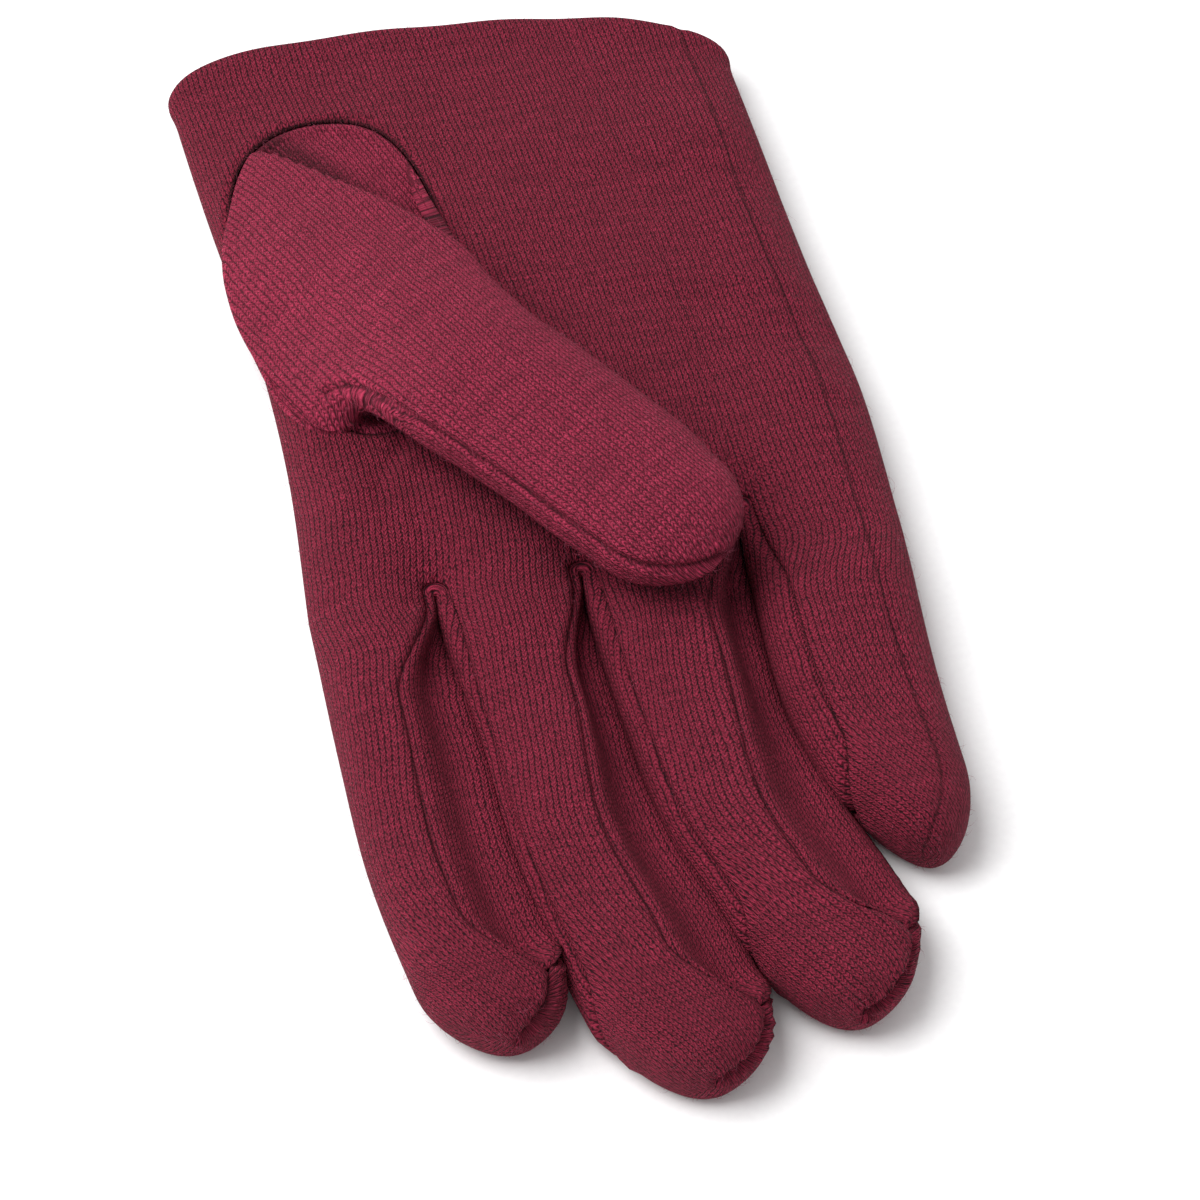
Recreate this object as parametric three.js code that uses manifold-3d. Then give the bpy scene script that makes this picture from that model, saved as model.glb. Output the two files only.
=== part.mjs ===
// Knitted glove liner for the right hand, lying palm up on its back, thumb folded over the palm.
//
// Millimetres, +Z up. Fingertips point to -Y, the open cuff to +Y, the thumb side is -X.
// While it is worked out, y = 0 is the knuckle line where the fingers part. At the end the
// origin moves to the middle of the glove's footprint, on the surface that the back rests on.

import * as THREE from 'three';
import { mergeVertices } from 'three/addons/utils/BufferGeometryUtils.js';
import Module from 'manifold-3d';

// Hand
const PALM_LENGTH = 116;      // knuckle line to the cuff edge, on the left half
const CUFF_SLANT = 10;        // how much shorter the little-finger side of the cuff is
const CUFF_CORNER = 3;        // how far the cuff's side corners are rounded back
const PALM_HEIGHT = 13;
const CUFF_HEIGHT = 12;
const FINGER_HEIGHT = 14;
const EDGE_ROUND = 10.5;      // from a side edge to where the cloth lies flat
const WEB_DEPTH = 1.5;        // how far the seam lies behind the crotch between two fingers

// Cloth
const WALL = 1.2;
const HEM_WALL = 2.2;         // the cuff is turned in, so it is double
const HEM_WIDTH = 20;
const HEM_ROUND = 0.7;
const SEAM_GAP = 0.3;
const FINGER_GAP = 0.5;

// Side strips between the fingers, as angles round a finger's section
const STRIP_HALF_ANGLE = 51;  // degrees
const SEAM_RUN_IN = 22;       // from the crotch to where a seam has its full angle
const STRIP_TAPER = 25;       // length in which a strip narrows to its end near the fingertip
const CROTCH_SEAM = 1.3;      // sideways distance from the finger's edge to the seam at the crotch
const SEAM_INSET = 1.5;       // how far the strip's edge lies in from the seam, in seam gaps
const CROTCH_INSET = 3.2;     // the same round the crotch
const STRIP_END = 0.5;        // how much of its last row the strip leaves free at each end

// Thumb
const THUMB_HOLE_LENGTH = 65;
const THUMB_HOLE_WIDTH = 30.6;
const THUMB_HOLE_TURN = -1;   // degrees
const THUMB_ANGLE = -54;      // direction of the folded thumb, degrees from +X
const THUMB_LENGTH = 49;      // free tube, from beside the hole to the tip
const THUMB_WIDTH = 25;
const THUMB_HEIGHT = 14;
const THUMB_CLEARANCE = 0.6;  // between the folded thumb and the cloth under it
const THUMB_RISE = 14;        // how steeply the base leaves the hole, upwards
const THUMB_LEAN = 16;        // the same, towards the middle of the hole
const THUMB_REACH = 26;       // how early the base bends into the thumb's direction

// Fingers from the thumb side outwards. width is at the knuckle line, length from there to the
// tip, roll turns the seams round the finger, in degrees, and left_round and right_round are the
// rounding of its two sides.
const FINGERS = [
  { name: 'index', width: 18.7, length: 78, roll: 40, left_round: 8.5, right_round: 12 },
  { name: 'middle', width: 21.3, length: 89.8, roll: 20, left_round: 7, right_round: 12 },
  { name: 'ring', width: 24.6, length: 82.8, roll: 22, left_round: 7, right_round: 12 },
  { name: 'little', width: 23.0, length: 58.2, roll: 16, left_round: 7, right_round: 9 },
];
// How far each parting of two neighbouring fingers lies behind the knuckle line.
const CROTCHES = { index_middle: 0, middle_ring: 0, ring_little: 8 };
const TIP_LENGTH = 0.6;       // rounded end of a finger, as a share of its width

// Sideways drift of the five edges between the fingers, as shares of the palm's width.
// reach is the distance in front of the knuckle line, as a share of the longest finger.
const FINGER_DRIFT = [
  { reach: 0.00, edge0: 0.000, edge1: 0.000, edge2: 0.000, edge3: 0.000, edge4: 0.000 },
  { reach: 0.30, edge0: 0.002, edge1: 0.025, edge2: 0.019, edge3: -0.001, edge4: -0.015 },
  { reach: 0.52, edge0: 0.010, edge1: 0.035, edge2: 0.043, edge3: 0.039, edge4: -0.014 },
  { reach: 0.74, edge0: 0.042, edge1: 0.070, edge2: 0.105, edge3: 0.100, edge4: -0.006 },
  { reach: 1.00, edge0: 0.095, edge1: 0.129, edge2: 0.148, edge3: 0.110, edge4: 0.010 },
];

// Outline and height of the hand, back is the distance behind the knuckle line as a share of the
// palm's length. left and right are the drift of the side edges, as shares of the palm's width.
const HAND_SECTIONS = [
  { back: 0.00, left: 0.000, right: 0.000 },
  { back: 0.24, left: 0.016, right: 0.002 },
  { back: 0.46, left: 0.008, right: -0.024 },
  { back: 0.67, left: -0.024, right: -0.041 },
  { back: 0.87, left: -0.047, right: -0.057 },
  { back: 1.00, left: -0.056, right: -0.068 },
];

// Dents in the palm side: across and back place the middle, as shares of the palm's width and
// length, long and wide are their half sizes and depth their depth, as shares of the palm's
// width and height, turn is in degrees.
const DENTS = [
  { across: -0.30, back: 0.26, long: 0.16, wide: 0.08, turn: 20, depth: 0.14 },
  { across: -0.08, back: 0.20, long: 0.20, wide: 0.10, turn: -54, depth: 0.10 },
  { across: -0.28, back: 0.06, long: 0.22, wide: 0.05, turn: 90, depth: 0.07 },
  { across: -0.04, back: 0.07, long: 0.22, wide: 0.05, turn: 90, depth: 0.09 },
  { across: 0.23, back: 0.10, long: 0.22, wide: 0.05, turn: 88, depth: 0.12 },
  { across: 0.30, back: 0.62, long: 0.34, wide: 0.07, turn: -12, depth: 0.06 },
  { across: -0.05, back: 0.80, long: 0.30, wide: 0.08, turn: 96, depth: 0.07 },
  { across: 0.47, back: 0.32, long: 0.12, wide: 0.05, turn: 0, depth: 0.10 },
];

// Sections of the thumb's free tube. along is a share of its length, aside of its width, and
// width and height are shares of the thumb's own.
const THUMB_SECTIONS = [
  { along: 0.00, aside: 0.00, width: 1.04, height: 1.00 },
  { along: 0.22, aside: 0.01, width: 1.02, height: 1.00 },
  { along: 0.44, aside: 0.01, width: 1.00, height: 0.98 },
  { along: 0.62, aside: 0.00, width: 0.98, height: 0.96 },
  { along: 0.76, aside: -0.02, width: 0.93, height: 0.94 },
];
const THUMB_HOLE_PLACE = { across: -0.316, back: 0.542 };
const THUMB_START = { across: -0.148, back: 0.241 };

// Mesh density
const HAND_ROWS = 12;
const WEB_ROWS = 3;
const FINGER_ROWS = 8;
const TIP_ROWS = 5;
const PANEL_COLUMNS = 6;
const STRIP_COLUMNS = 4;
const THUMB_BASE_ROWS = 8;
const THUMB_TUBE_ROWS = 6;
const THUMB_TIP_ROWS = 4;
const THUMB_COLUMNS = 24;

const CLOTH_COLOUR = 0x7e2a3e;
const CLOTH_ROUGHNESS = 0.92;

// Derived sizes
const RADIANS = Math.PI / 180;
const LEFT = -1;
const RIGHT = 1;
const PALM_SIDE = 1;
const BACK_SIDE = -1;
const LONGEST = Math.max(...FINGERS.map((finger) => finger.length));
const PALM_WIDTH = FINGERS.reduce((sum, finger) => sum + finger.width, 0);
const KNUCKLE_EDGES = [-PALM_WIDTH / 2];
FINGERS.forEach((finger, i) => KNUCKLE_EDGES.push(KNUCKLE_EDGES[i] + finger.width));
const WEB_ROW = HAND_ROWS + WEB_ROWS;
const TIP_ROW = WEB_ROW + FINGER_ROWS;
const JOIN_ROW = TIP_ROW + 1;
const LAST_ROW = TIP_ROW + TIP_ROWS;

function smooth(share) {
  const t = THREE.MathUtils.clamp(share, 0, 1);
  return t * t * (3 - 2 * t);
}

// A smooth curve through one column of a table, read at a place given in its key column.
function readTable(table, key, column, place) {
  const last = table.length - 1;
  const at = THREE.MathUtils.clamp(place, table[0][key], table[last][key]);
  let i = 0;
  while (i < last - 1 && at > table[i + 1][key]) i += 1;
  const slope = (n) => {
    const a = table[Math.max(n - 1, 0)];
    const b = table[Math.min(n + 1, last)];
    return (b[column] - a[column]) / (b[key] - a[key]);
  };
  const span = table[i + 1][key] - table[i][key];
  const t = (at - table[i][key]) / span;
  const rest = 1 - t;
  return table[i][column] * rest * rest * (1 + 2 * t) + slope(i) * span * t * rest * rest
    + table[i + 1][column] * t * t * (3 - 2 * t) - slope(i + 1) * span * t * t * rest;
}

// Plan of the glove

// The line between two fingers, carried on through the palm to the cuff.
function edgeLine(edge, y) {
  if (y <= 0) {
    return KNUCKLE_EDGES[edge] + PALM_WIDTH * readTable(FINGER_DRIFT, 'reach', `edge${edge}`, -y / LONGEST);
  }
  const back = y / PALM_LENGTH;
  const left = KNUCKLE_EDGES[0] + PALM_WIDTH * readTable(HAND_SECTIONS, 'back', 'left', back);
  const right = KNUCKLE_EDGES[4] + PALM_WIDTH * readTable(HAND_SECTIONS, 'back', 'right', back);
  const share = (KNUCKLE_EDGES[edge] - KNUCKLE_EDGES[0]) / PALM_WIDTH;
  return THREE.MathUtils.lerp(left, right, share);
}

function isOuter(finger, side) {
  return (finger === 0 && side === LEFT) || (finger === FINGERS.length - 1 && side === RIGHT);
}

// How far behind the knuckle line the finger parts from its neighbour on that side. The outer
// side of the first and last finger takes the level of its inner side.
function crotchLevel(finger, side) {
  const first = THREE.MathUtils.clamp(side === RIGHT ? finger : finger - 1, 0, FINGERS.length - 2);
  return CROTCHES[`${FINGERS[first].name}_${FINGERS[first + 1].name}`];
}

function tipLength(finger) {
  return TIP_LENGTH * FINGERS[finger].width;
}

function tipStart(finger) {
  return tipLength(finger) - FINGERS[finger].length;
}

// Side edge of one finger's strip, before its tip is rounded.
function straightSide(finger, side, y) {
  const edge = edgeLine(side === RIGHT ? finger + 1 : finger, y);
  if (isOuter(finger, side)) return edge;
  const short = THREE.MathUtils.clamp((y - crotchLevel(finger, side)) / (0.5 * FINGER_GAP), 0, 1);
  return edge - side * 0.5 * FINGER_GAP * Math.sqrt(1 - short * short);
}

// Middle and half width of one finger's strip at a place along it.
function strip(finger, y) {
  const left = straightSide(finger, LEFT, y);
  const right = straightSide(finger, RIGHT, y);
  const into = THREE.MathUtils.clamp((tipStart(finger) - y) / tipLength(finger), 0, 1);
  const half = 0.5 * (right - left) * Math.sqrt(1 - into * into);
  return { middle: 0.5 * (left + right), half };
}

// Thickness of the glove

function halfHeight(y) {
  const intoFinger = smooth(-y / EDGE_ROUND);
  const intoCuff = smooth(y / PALM_LENGTH);
  const palm = THREE.MathUtils.lerp(PALM_HEIGHT, CUFF_HEIGHT, intoCuff);
  return 0.5 * THREE.MathUtils.lerp(palm, FINGER_HEIGHT, intoFinger);
}

// How full the glove is at a distance from a side edge: 0 on the edge, 1 where it lies flat.
function fullness(distance, round) {
  const q = THREE.MathUtils.clamp(distance / round, 0, 1);
  return Math.pow(1 - Math.pow(1 - q, 2.2), 1 / 2.2);
}

function sideFullness(finger, side, x, y) {
  const crotch = crotchLevel(finger, side);
  const along = smooth((crotch - y) / (1.5 * EDGE_ROUND));
  const own = side === LEFT ? FINGERS[finger].left_round : FINGERS[finger].right_round;
  const round = THREE.MathUtils.lerp(EDGE_ROUND, own, along);
  if (!isOuter(finger, side) && y > crotch) {
    const edge = edgeLine(side === RIGHT ? finger + 1 : finger, crotch);
    return fullness(Math.hypot(x - edge, y - crotch) - 0.5 * FINGER_GAP, round);
  }
  const { middle, half } = strip(finger, y);
  return fullness(side * (middle + side * half - x), round);
}

function dentDepth(x, y) {
  let depth = 0;
  for (const dent of DENTS) {
    const turn = dent.turn * RADIANS;
    const dx = x - dent.across * PALM_WIDTH;
    const dy = y - dent.back * PALM_LENGTH;
    const along = (dx * Math.cos(turn) + dy * Math.sin(turn)) / (dent.long * PALM_WIDTH);
    const aside = (dy * Math.cos(turn) - dx * Math.sin(turn)) / (dent.wide * PALM_WIDTH);
    depth += dent.depth * PALM_HEIGHT * Math.exp(-along * along - aside * aside);
  }
  return depth;
}

// Point on the outside of the cloth, over or under a place in the plan.
function clothPoint(finger, x, y, sheet) {
  const full = sideFullness(finger, LEFT, x, y) * sideFullness(finger, RIGHT, x, y);
  const half = halfHeight(y);
  const dent = sheet === PALM_SIDE ? dentDepth(x, y) * full : 0;
  return new THREE.Vector3(x, y, half + sheet * half * full - dent);
}

// Rows of the cloth run across each finger's strip, from the cuff (row 0) to the fingertip.

function cuffEdge(share) {
  const across = 2 * share - 1;
  const slant = CUFF_SLANT * 0.64 * (across + 0.25) ** 2;
  return PALM_LENGTH - slant - CUFF_CORNER * Math.pow(Math.abs(across), 12);
}

const HAND_ROW_PLACES = [0, 0.012, 0.06, 0.12, 0.18];
while (HAND_ROW_PLACES.length <= HAND_ROWS) {
  const left = HAND_ROWS + 1 - HAND_ROW_PLACES.length;
  const last = HAND_ROW_PLACES[HAND_ROW_PLACES.length - 1];
  HAND_ROW_PLACES.push(last + (1 - last) / left);
}

function webTurn(row) {
  return 0.5 * Math.PI * (WEB_ROW - row) / WEB_ROWS;
}

// Place along the glove of a row, on one side edge of a finger's strip.
function rowLevel(finger, side, row) {
  const crotch = crotchLevel(finger, side);
  if (row <= HAND_ROWS) {
    const edge = side === RIGHT ? finger + 1 : finger;
    const cuff = cuffEdge((KNUCKLE_EDGES[edge] - KNUCKLE_EDGES[0]) / PALM_WIDTH);
    return THREE.MathUtils.lerp(cuff, crotch + WEB_DEPTH, HAND_ROW_PLACES[row]);
  }
  if (row <= WEB_ROW) return crotch + WEB_DEPTH * Math.sin(webTurn(row));
  if (row <= TIP_ROW) {
    return THREE.MathUtils.lerp(crotch, tipStart(finger), (row - WEB_ROW) / FINGER_ROWS);
  }
  const turn = 0.5 * Math.PI * (row - TIP_ROW) / TIP_ROWS;
  return tipStart(finger) - tipLength(finger) * Math.sin(turn);
}

// Angle round the finger of the seam between a panel and the side strip, from +X over the top.
function seamAngle(finger, side, sheet, row) {
  const middle = side === RIGHT ? 0 : Math.PI;
  if (isOuter(finger, side) || row <= HAND_ROWS) return middle;
  const y = rowLevel(finger, side, row);
  const crotch = crotchLevel(finger, side);
  const { half } = strip(finger, Math.min(y, crotch));
  const start = Math.acos(Math.max(1 - CROTCH_SEAM / Math.max(half, CROTCH_SEAM), 0));
  const end = rowLevel(finger, side, JOIN_ROW);
  const along = smooth((crotch - y) / SEAM_RUN_IN);
  const away = 1 - THREE.MathUtils.clamp((y - end) / STRIP_TAPER, 0, 1);
  const taper = 1 - away * away;
  const spread = THREE.MathUtils.lerp(start, STRIP_HALF_ANGLE * RADIANS, along) * taper;
  return middle + FINGERS[finger].roll * RADIANS * along + side * sheet * spread;
}

// The seam's place in the plan, on the rows where it goes round the crotch.
function webPoint(finger, side, row) {
  const edge = edgeLine(side === RIGHT ? finger + 1 : finger, crotchLevel(finger, side));
  const aside = (CROTCH_SEAM + 0.5 * FINGER_GAP) * Math.cos(webTurn(row));
  return { x: edge - side * aside, y: rowLevel(finger, side, row) };
}

function endAngle(finger, side, sheet, row) {
  if (row <= HAND_ROWS || row >= WEB_ROW || isOuter(finger, side)) {
    return seamAngle(finger, side, sheet, row);
  }
  const { x, y } = webPoint(finger, side, row);
  const { middle, half } = strip(finger, y);
  const angle = Math.acos(THREE.MathUtils.clamp((x - middle) / half, -1, 1));
  return sheet === PALM_SIDE ? angle : -angle;
}

// Point of the cloth on a row, at an angle round the strip.
function ringPoint(finger, y, angle, sheet) {
  const { middle, half } = strip(finger, y);
  const lift = Math.sin(angle);
  const side = Math.abs(lift) < 1e-9 ? sheet : Math.sign(lift);
  return clothPoint(finger, middle + half * Math.cos(angle), y, side);
}

// The whole outside of the cloth is one skin. Vertices are kept by name, so that pieces that
// are sewn together share them and get the same wall direction along the seam.
const skin = { points: [], names: new Map(), faces: [] };

function skinVertex(name, makePoint) {
  if (!skin.names.has(name)) {
    skin.names.set(name, skin.points.length);
    skin.points.push(makePoint());
  }
  return skin.names.get(name);
}

function borderName(finger, side, sheet, row) {
  if (row === LAST_ROW) return `tip ${finger}`;
  if (isOuter(finger, side)) return `side ${side} ${row}`;
  if (row <= HAND_ROWS) return `valley ${side === RIGHT ? finger + 1 : finger} ${sheet} ${row}`;
  if (row >= JOIN_ROW) return `join ${finger} ${side} ${row}`;
  return `seam ${finger} ${side} ${sheet} ${row}`;
}

function panelVertex(finger, sheet, row, column) {
  const share = column / PANEL_COLUMNS;
  const right = endAngle(finger, RIGHT, sheet, row);
  let left = endAngle(finger, LEFT, sheet, row);
  if (sheet === BACK_SIDE && left > 0) left -= 2 * Math.PI;
  const angle = THREE.MathUtils.lerp(right, left, share);
  const turn = THREE.MathUtils.smootherstep(share, 0, 1);
  const y = THREE.MathUtils.lerp(rowLevel(finger, RIGHT, row), rowLevel(finger, LEFT, row), turn);
  const make = () => ringPoint(finger, y, angle, sheet);
  if (column === 0) return skinVertex(borderName(finger, RIGHT, sheet, row), make);
  if (column === PANEL_COLUMNS) return skinVertex(borderName(finger, LEFT, sheet, row), make);
  if (row === LAST_ROW) return skinVertex(`tip ${finger}`, make);
  return skinVertex(`panel ${finger} ${sheet} ${row} ${column}`, make);
}

// Side strip section on one row of one leg, from the palm-side seam to the back-side seam.
function stripVertex(finger, side, row, column) {
  if (row === HAND_ROWS) {
    const parting = side === RIGHT ? finger + 1 : finger;
    if (column === 0 || column === STRIP_COLUMNS) {
      const sheet = column === 0 ? PALM_SIDE : BACK_SIDE;
      return skinVertex(`valley ${parting} ${sheet} ${row}`, () => new THREE.Vector3());
    }
    return skinVertex(`web ${parting} ${column}`, () => stripPoint(finger, side, row, column));
  }
  if (column === 0) return skinVertex(borderName(finger, side, PALM_SIDE, row));
  if (column === STRIP_COLUMNS) return skinVertex(borderName(finger, side, BACK_SIDE, row));
  return skinVertex(`strip ${finger} ${side} ${row} ${column}`, () => stripPoint(finger, side, row, column));
}

function stripPoint(finger, side, row, column) {
  const share = column / STRIP_COLUMNS;
  if (row >= WEB_ROW) {
    const palm = seamAngle(finger, side, PALM_SIDE, row);
    const back = seamAngle(finger, side, BACK_SIDE, row);
    return ringPoint(finger, rowLevel(finger, side, row), THREE.MathUtils.lerp(palm, back, share), PALM_SIDE);
  }
  const crotch = crotchLevel(finger, side);
  const edge = edgeLine(side === RIGHT ? finger + 1 : finger, crotch);
  const seam = row === HAND_ROWS ? { x: edge, y: crotch + WEB_DEPTH } : webPoint(finger, side, row);
  const mouthX = edge - side * 0.5 * FINGER_GAP * Math.cos(webTurn(row));
  const mouthY = crotch + 0.5 * FINGER_GAP * Math.sin(webTurn(row));
  const signed = 1 - 2 * share;
  const inward = signed * signed;
  const x = THREE.MathUtils.lerp(mouthX, seam.x, inward);
  const y = THREE.MathUtils.lerp(mouthY, seam.y, inward);
  return clothPoint(finger, x, y, signed >= 0 ? PALM_SIDE : BACK_SIDE);
}

function addQuad(faces, a, b, c, d) {
  if (a !== b && b !== c && a !== c) faces.push([a, b, c]);
  if (a !== c && c !== d && a !== d) faces.push([a, c, d]);
}

function panelFaces() {
  const faces = [];
  FINGERS.forEach((_, finger) => {
    for (const sheet of [PALM_SIDE, BACK_SIDE]) {
      for (let row = 0; row < LAST_ROW; row += 1) {
        for (let column = 0; column < PANEL_COLUMNS; column += 1) {
          const corners = [[row, column], [row, column + 1], [row + 1, column + 1], [row + 1, column]];
          const [a, b, c, d] = corners.map(([r, q]) => panelVertex(finger, sheet, r, q));
          if (sheet === PALM_SIDE) addQuad(faces, a, b, c, d);
          else addQuad(faces, d, c, b, a);
        }
      }
    }
  });
  return faces;
}

// Grid of skin vertices of one side strip: up one finger, round the crotch, up the next.
function stripGrid(parting) {
  const rows = [];
  for (let row = JOIN_ROW; row >= HAND_ROWS; row -= 1) rows.push([parting, RIGHT, row]);
  for (let row = HAND_ROWS + 1; row <= JOIN_ROW; row += 1) rows.push([parting + 1, LEFT, row]);
  return rows.map(([finger, side, row]) => {
    const line = [];
    for (let column = 0; column <= STRIP_COLUMNS; column += 1) {
      line.push(stripVertex(finger, side, row, column));
    }
    return line;
  });
}

function gridFaces(grid) {
  const faces = [];
  for (let row = 0; row + 1 < grid.length; row += 1) {
    for (let column = 0; column + 1 < grid[row].length; column += 1) {
      addQuad(faces, grid[row][column], grid[row][column + 1], grid[row + 1][column + 1], grid[row + 1][column]);
    }
  }
  return faces;
}

// Mean direction of the faces round each vertex, each counted by its angle there.
function vertexNormals(points, faces) {
  const normals = points.map(() => new THREE.Vector3());
  for (const face of faces) {
    face.forEach((corner, i) => {
      const one = points[face[(i + 1) % 3]].clone().sub(points[corner]);
      const other = points[face[(i + 2) % 3]].clone().sub(points[corner]);
      const angle = one.angleTo(other);
      normals[corner].addScaledVector(one.cross(other).normalize(), angle);
    });
  }
  return normals.map((normal) => normal.normalize());
}

// Closed wall from its outer and inner points: both surfaces, and a rim along every open border.
function wallGeometry(outer, inner, faces) {
  const count = outer.length;
  const positions = [...outer, ...inner].flatMap((point) => [point.x, point.y, point.z]);
  const triangles = [];
  const borders = new Set(faces.flatMap(([a, b, c]) => [`${a},${b}`, `${b},${c}`, `${c},${a}`]));
  for (const [a, b, c] of faces) {
    triangles.push(a, b, c, count + a, count + c, count + b);
    for (const [from, to] of [[a, b], [b, c], [c, a]]) {
      if (!borders.has(`${to},${from}`)) {
        triangles.push(to, from, count + from, to, count + from, count + to);
      }
    }
  }
  const geometry = new THREE.BufferGeometry();
  geometry.setAttribute('position', new THREE.Float32BufferAttribute(positions, 3));
  geometry.setIndex(triangles);
  return geometry;
}

// The hem doubles the wall of the main piece, and its edge is rounded.
function hemShare(point) {
  const share = (point.x - edgeLine(0, point.y)) / (edgeLine(4, point.y) - edgeLine(0, point.y));
  return smooth(1.25 - (cuffEdge(THREE.MathUtils.clamp(share, 0, 1)) - point.y) / HEM_WIDTH);
}

function mainPieceGeometry(faces, normals) {
  const used = [...new Set(faces.flat())];
  const place = new Map(used.map((vertex, i) => [vertex, i]));
  const rim = new Set();
  FINGERS.forEach((_, finger) => {
    for (const sheet of [PALM_SIDE, BACK_SIDE]) {
      for (let column = 0; column <= PANEL_COLUMNS; column += 1) {
        rim.add(panelVertex(finger, sheet, 0, column));
      }
    }
  });
  const outer = [];
  const inner = [];
  for (const vertex of used) {
    const point = skin.points[vertex];
    const wall = THREE.MathUtils.lerp(WALL, HEM_WALL, hemShare(point));
    const round = rim.has(vertex) ? HEM_ROUND : 0;
    outer.push(point.clone().addScaledVector(normals[vertex], -round));
    inner.push(point.clone().addScaledVector(normals[vertex], round - wall));
  }
  return wallGeometry(outer, inner, faces.map((face) => face.map((vertex) => place.get(vertex))));
}

// Side strip, narrower than its place by the gap at both seams and at both ends. The gap is
// wider round the crotch, where the seam turns sharply.
function sideStripGeometry(grid, normals) {
  const outer = grid.map((line) => line.map((vertex) => skin.points[vertex].clone()));
  const inner = grid.map((line) => line.map((vertex) => (
    skin.points[vertex].clone().addScaledVector(normals[vertex], -WALL))));
  const lastRow = grid.length - 1;
  for (const layer of [outer, inner]) {
    const ends = [[layer[0], layer[1]], [layer[lastRow], layer[lastRow - 1]]];
    for (const [end, next] of ends) end.forEach((point, i) => point.lerp(next[i], STRIP_END));
  }
  outer.forEach((line, row) => {
    const fromCrotch = Math.abs(row - lastRow / 2);
    const gap = SEAM_GAP * (fromCrotch > WEB_ROWS + 1 ? SEAM_INSET : CROTCH_INSET);
    for (const [border, next] of [[0, 1], [STRIP_COLUMNS, STRIP_COLUMNS - 1]]) {
      const width = Math.max(line[border].distanceTo(line[next]), SEAM_GAP);
      const share = Math.min(gap / width, 0.8);
      line[border].lerp(line[next], share);
      inner[row][border].lerp(inner[row][next], share);
    }
  });
  const columns = STRIP_COLUMNS + 1;
  const indexGrid = outer.map((line, row) => line.map((_, column) => row * columns + column));
  return wallGeometry(outer.flat(), inner.flat(), gridFaces(indexGrid));
}

// Thumb

const THUMB_DIRECTION = new THREE.Vector3(Math.cos(THUMB_ANGLE * RADIANS), Math.sin(THUMB_ANGLE * RADIANS), 0);
const THUMB_ASIDE = new THREE.Vector3(-THUMB_DIRECTION.y, THUMB_DIRECTION.x, 0);
const UP = new THREE.Vector3(0, 0, 1);
const HOLE_MIDDLE = new THREE.Vector3(
  THUMB_HOLE_PLACE.across * PALM_WIDTH, THUMB_HOLE_PLACE.back * PALM_LENGTH, 0);
const THUMB_ORIGIN = new THREE.Vector3(
  THUMB_START.across * PALM_WIDTH, THUMB_START.back * PALM_LENGTH, 0);

// Top of the palm at a place in the plan, whichever finger's strip it belongs to.
function palmTop(x, y) {
  let finger = FINGERS.length - 1;
  while (finger > 0 && x < edgeLine(finger, y)) finger -= 1;
  return clothPoint(finger, x, y, PALM_SIDE).z;
}

// Point on the rim of the thumb hole, grown outwards by some distance. The angle is 0 on the
// side that becomes the thumb's right edge and a quarter turn on where it becomes its top.
function holePoint(angle, grow) {
  const long = 0.5 * THUMB_HOLE_LENGTH + grow;
  const wide = 0.5 * THUMB_HOLE_WIDTH + grow;
  const turn = THUMB_HOLE_TURN * RADIANS;
  const longAxis = new THREE.Vector3(-Math.sin(turn), Math.cos(turn), 0);
  const wideAxis = new THREE.Vector3(Math.cos(turn), Math.sin(turn), 0);
  const start = Math.atan2(wide * wideAxis.dot(THUMB_ASIDE), long * longAxis.dot(THUMB_ASIDE));
  return HOLE_MIDDLE.clone()
    .addScaledVector(longAxis, long * Math.cos(start - angle))
    .addScaledVector(wideAxis, wide * Math.sin(start - angle));
}

function tubeCentre(along, aside, height) {
  const top = Math.max(PALM_HEIGHT, FINGER_HEIGHT) + THUMB_CLEARANCE;
  return THUMB_ORIGIN.clone()
    .addScaledVector(THUMB_DIRECTION, along * THUMB_LENGTH)
    .addScaledVector(THUMB_ASIDE, aside * THUMB_WIDTH)
    .addScaledVector(UP, top + 0.5 * height * THUMB_HEIGHT);
}

function tubePoint(along, angle, shrink) {
  const aside = readTable(THUMB_SECTIONS, 'along', 'aside', along);
  const width = readTable(THUMB_SECTIONS, 'along', 'width', along);
  const height = readTable(THUMB_SECTIONS, 'along', 'height', along);
  const lift = Math.sin(angle);
  const full = Math.sign(lift) * Math.pow(Math.abs(lift), 0.85);
  return tubeCentre(along, aside, height)
    .addScaledVector(THUMB_ASIDE, 0.5 * width * THUMB_WIDTH * shrink * Math.cos(angle))
    .addScaledVector(UP, 0.5 * height * THUMB_HEIGHT * shrink * full);
}

// Base of the thumb: for each angle one curve from the rim of the hole to the start of the tube.
function basePoint(share, angle) {
  const rim = holePoint(angle, -SEAM_GAP);
  rim.z = palmTop(rim.x, rim.y) + 1.2 * SEAM_GAP;
  const tube = tubePoint(0, angle, 1);
  const leave = HOLE_MIDDLE.clone().sub(rim).setZ(0).normalize().multiplyScalar(THUMB_LEAN);
  leave.z = THUMB_RISE * (0.55 + 0.45 * Math.sin(angle));
  const t = share;
  const rest = 1 - t;
  return new THREE.Vector3()
    .addScaledVector(rim, rest * rest * (1 + 2 * t))
    .addScaledVector(leave, t * rest * rest)
    .addScaledVector(tube, t * t * (3 - 2 * t))
    .addScaledVector(THUMB_DIRECTION, -THUMB_REACH * t * t * rest);
}

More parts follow.
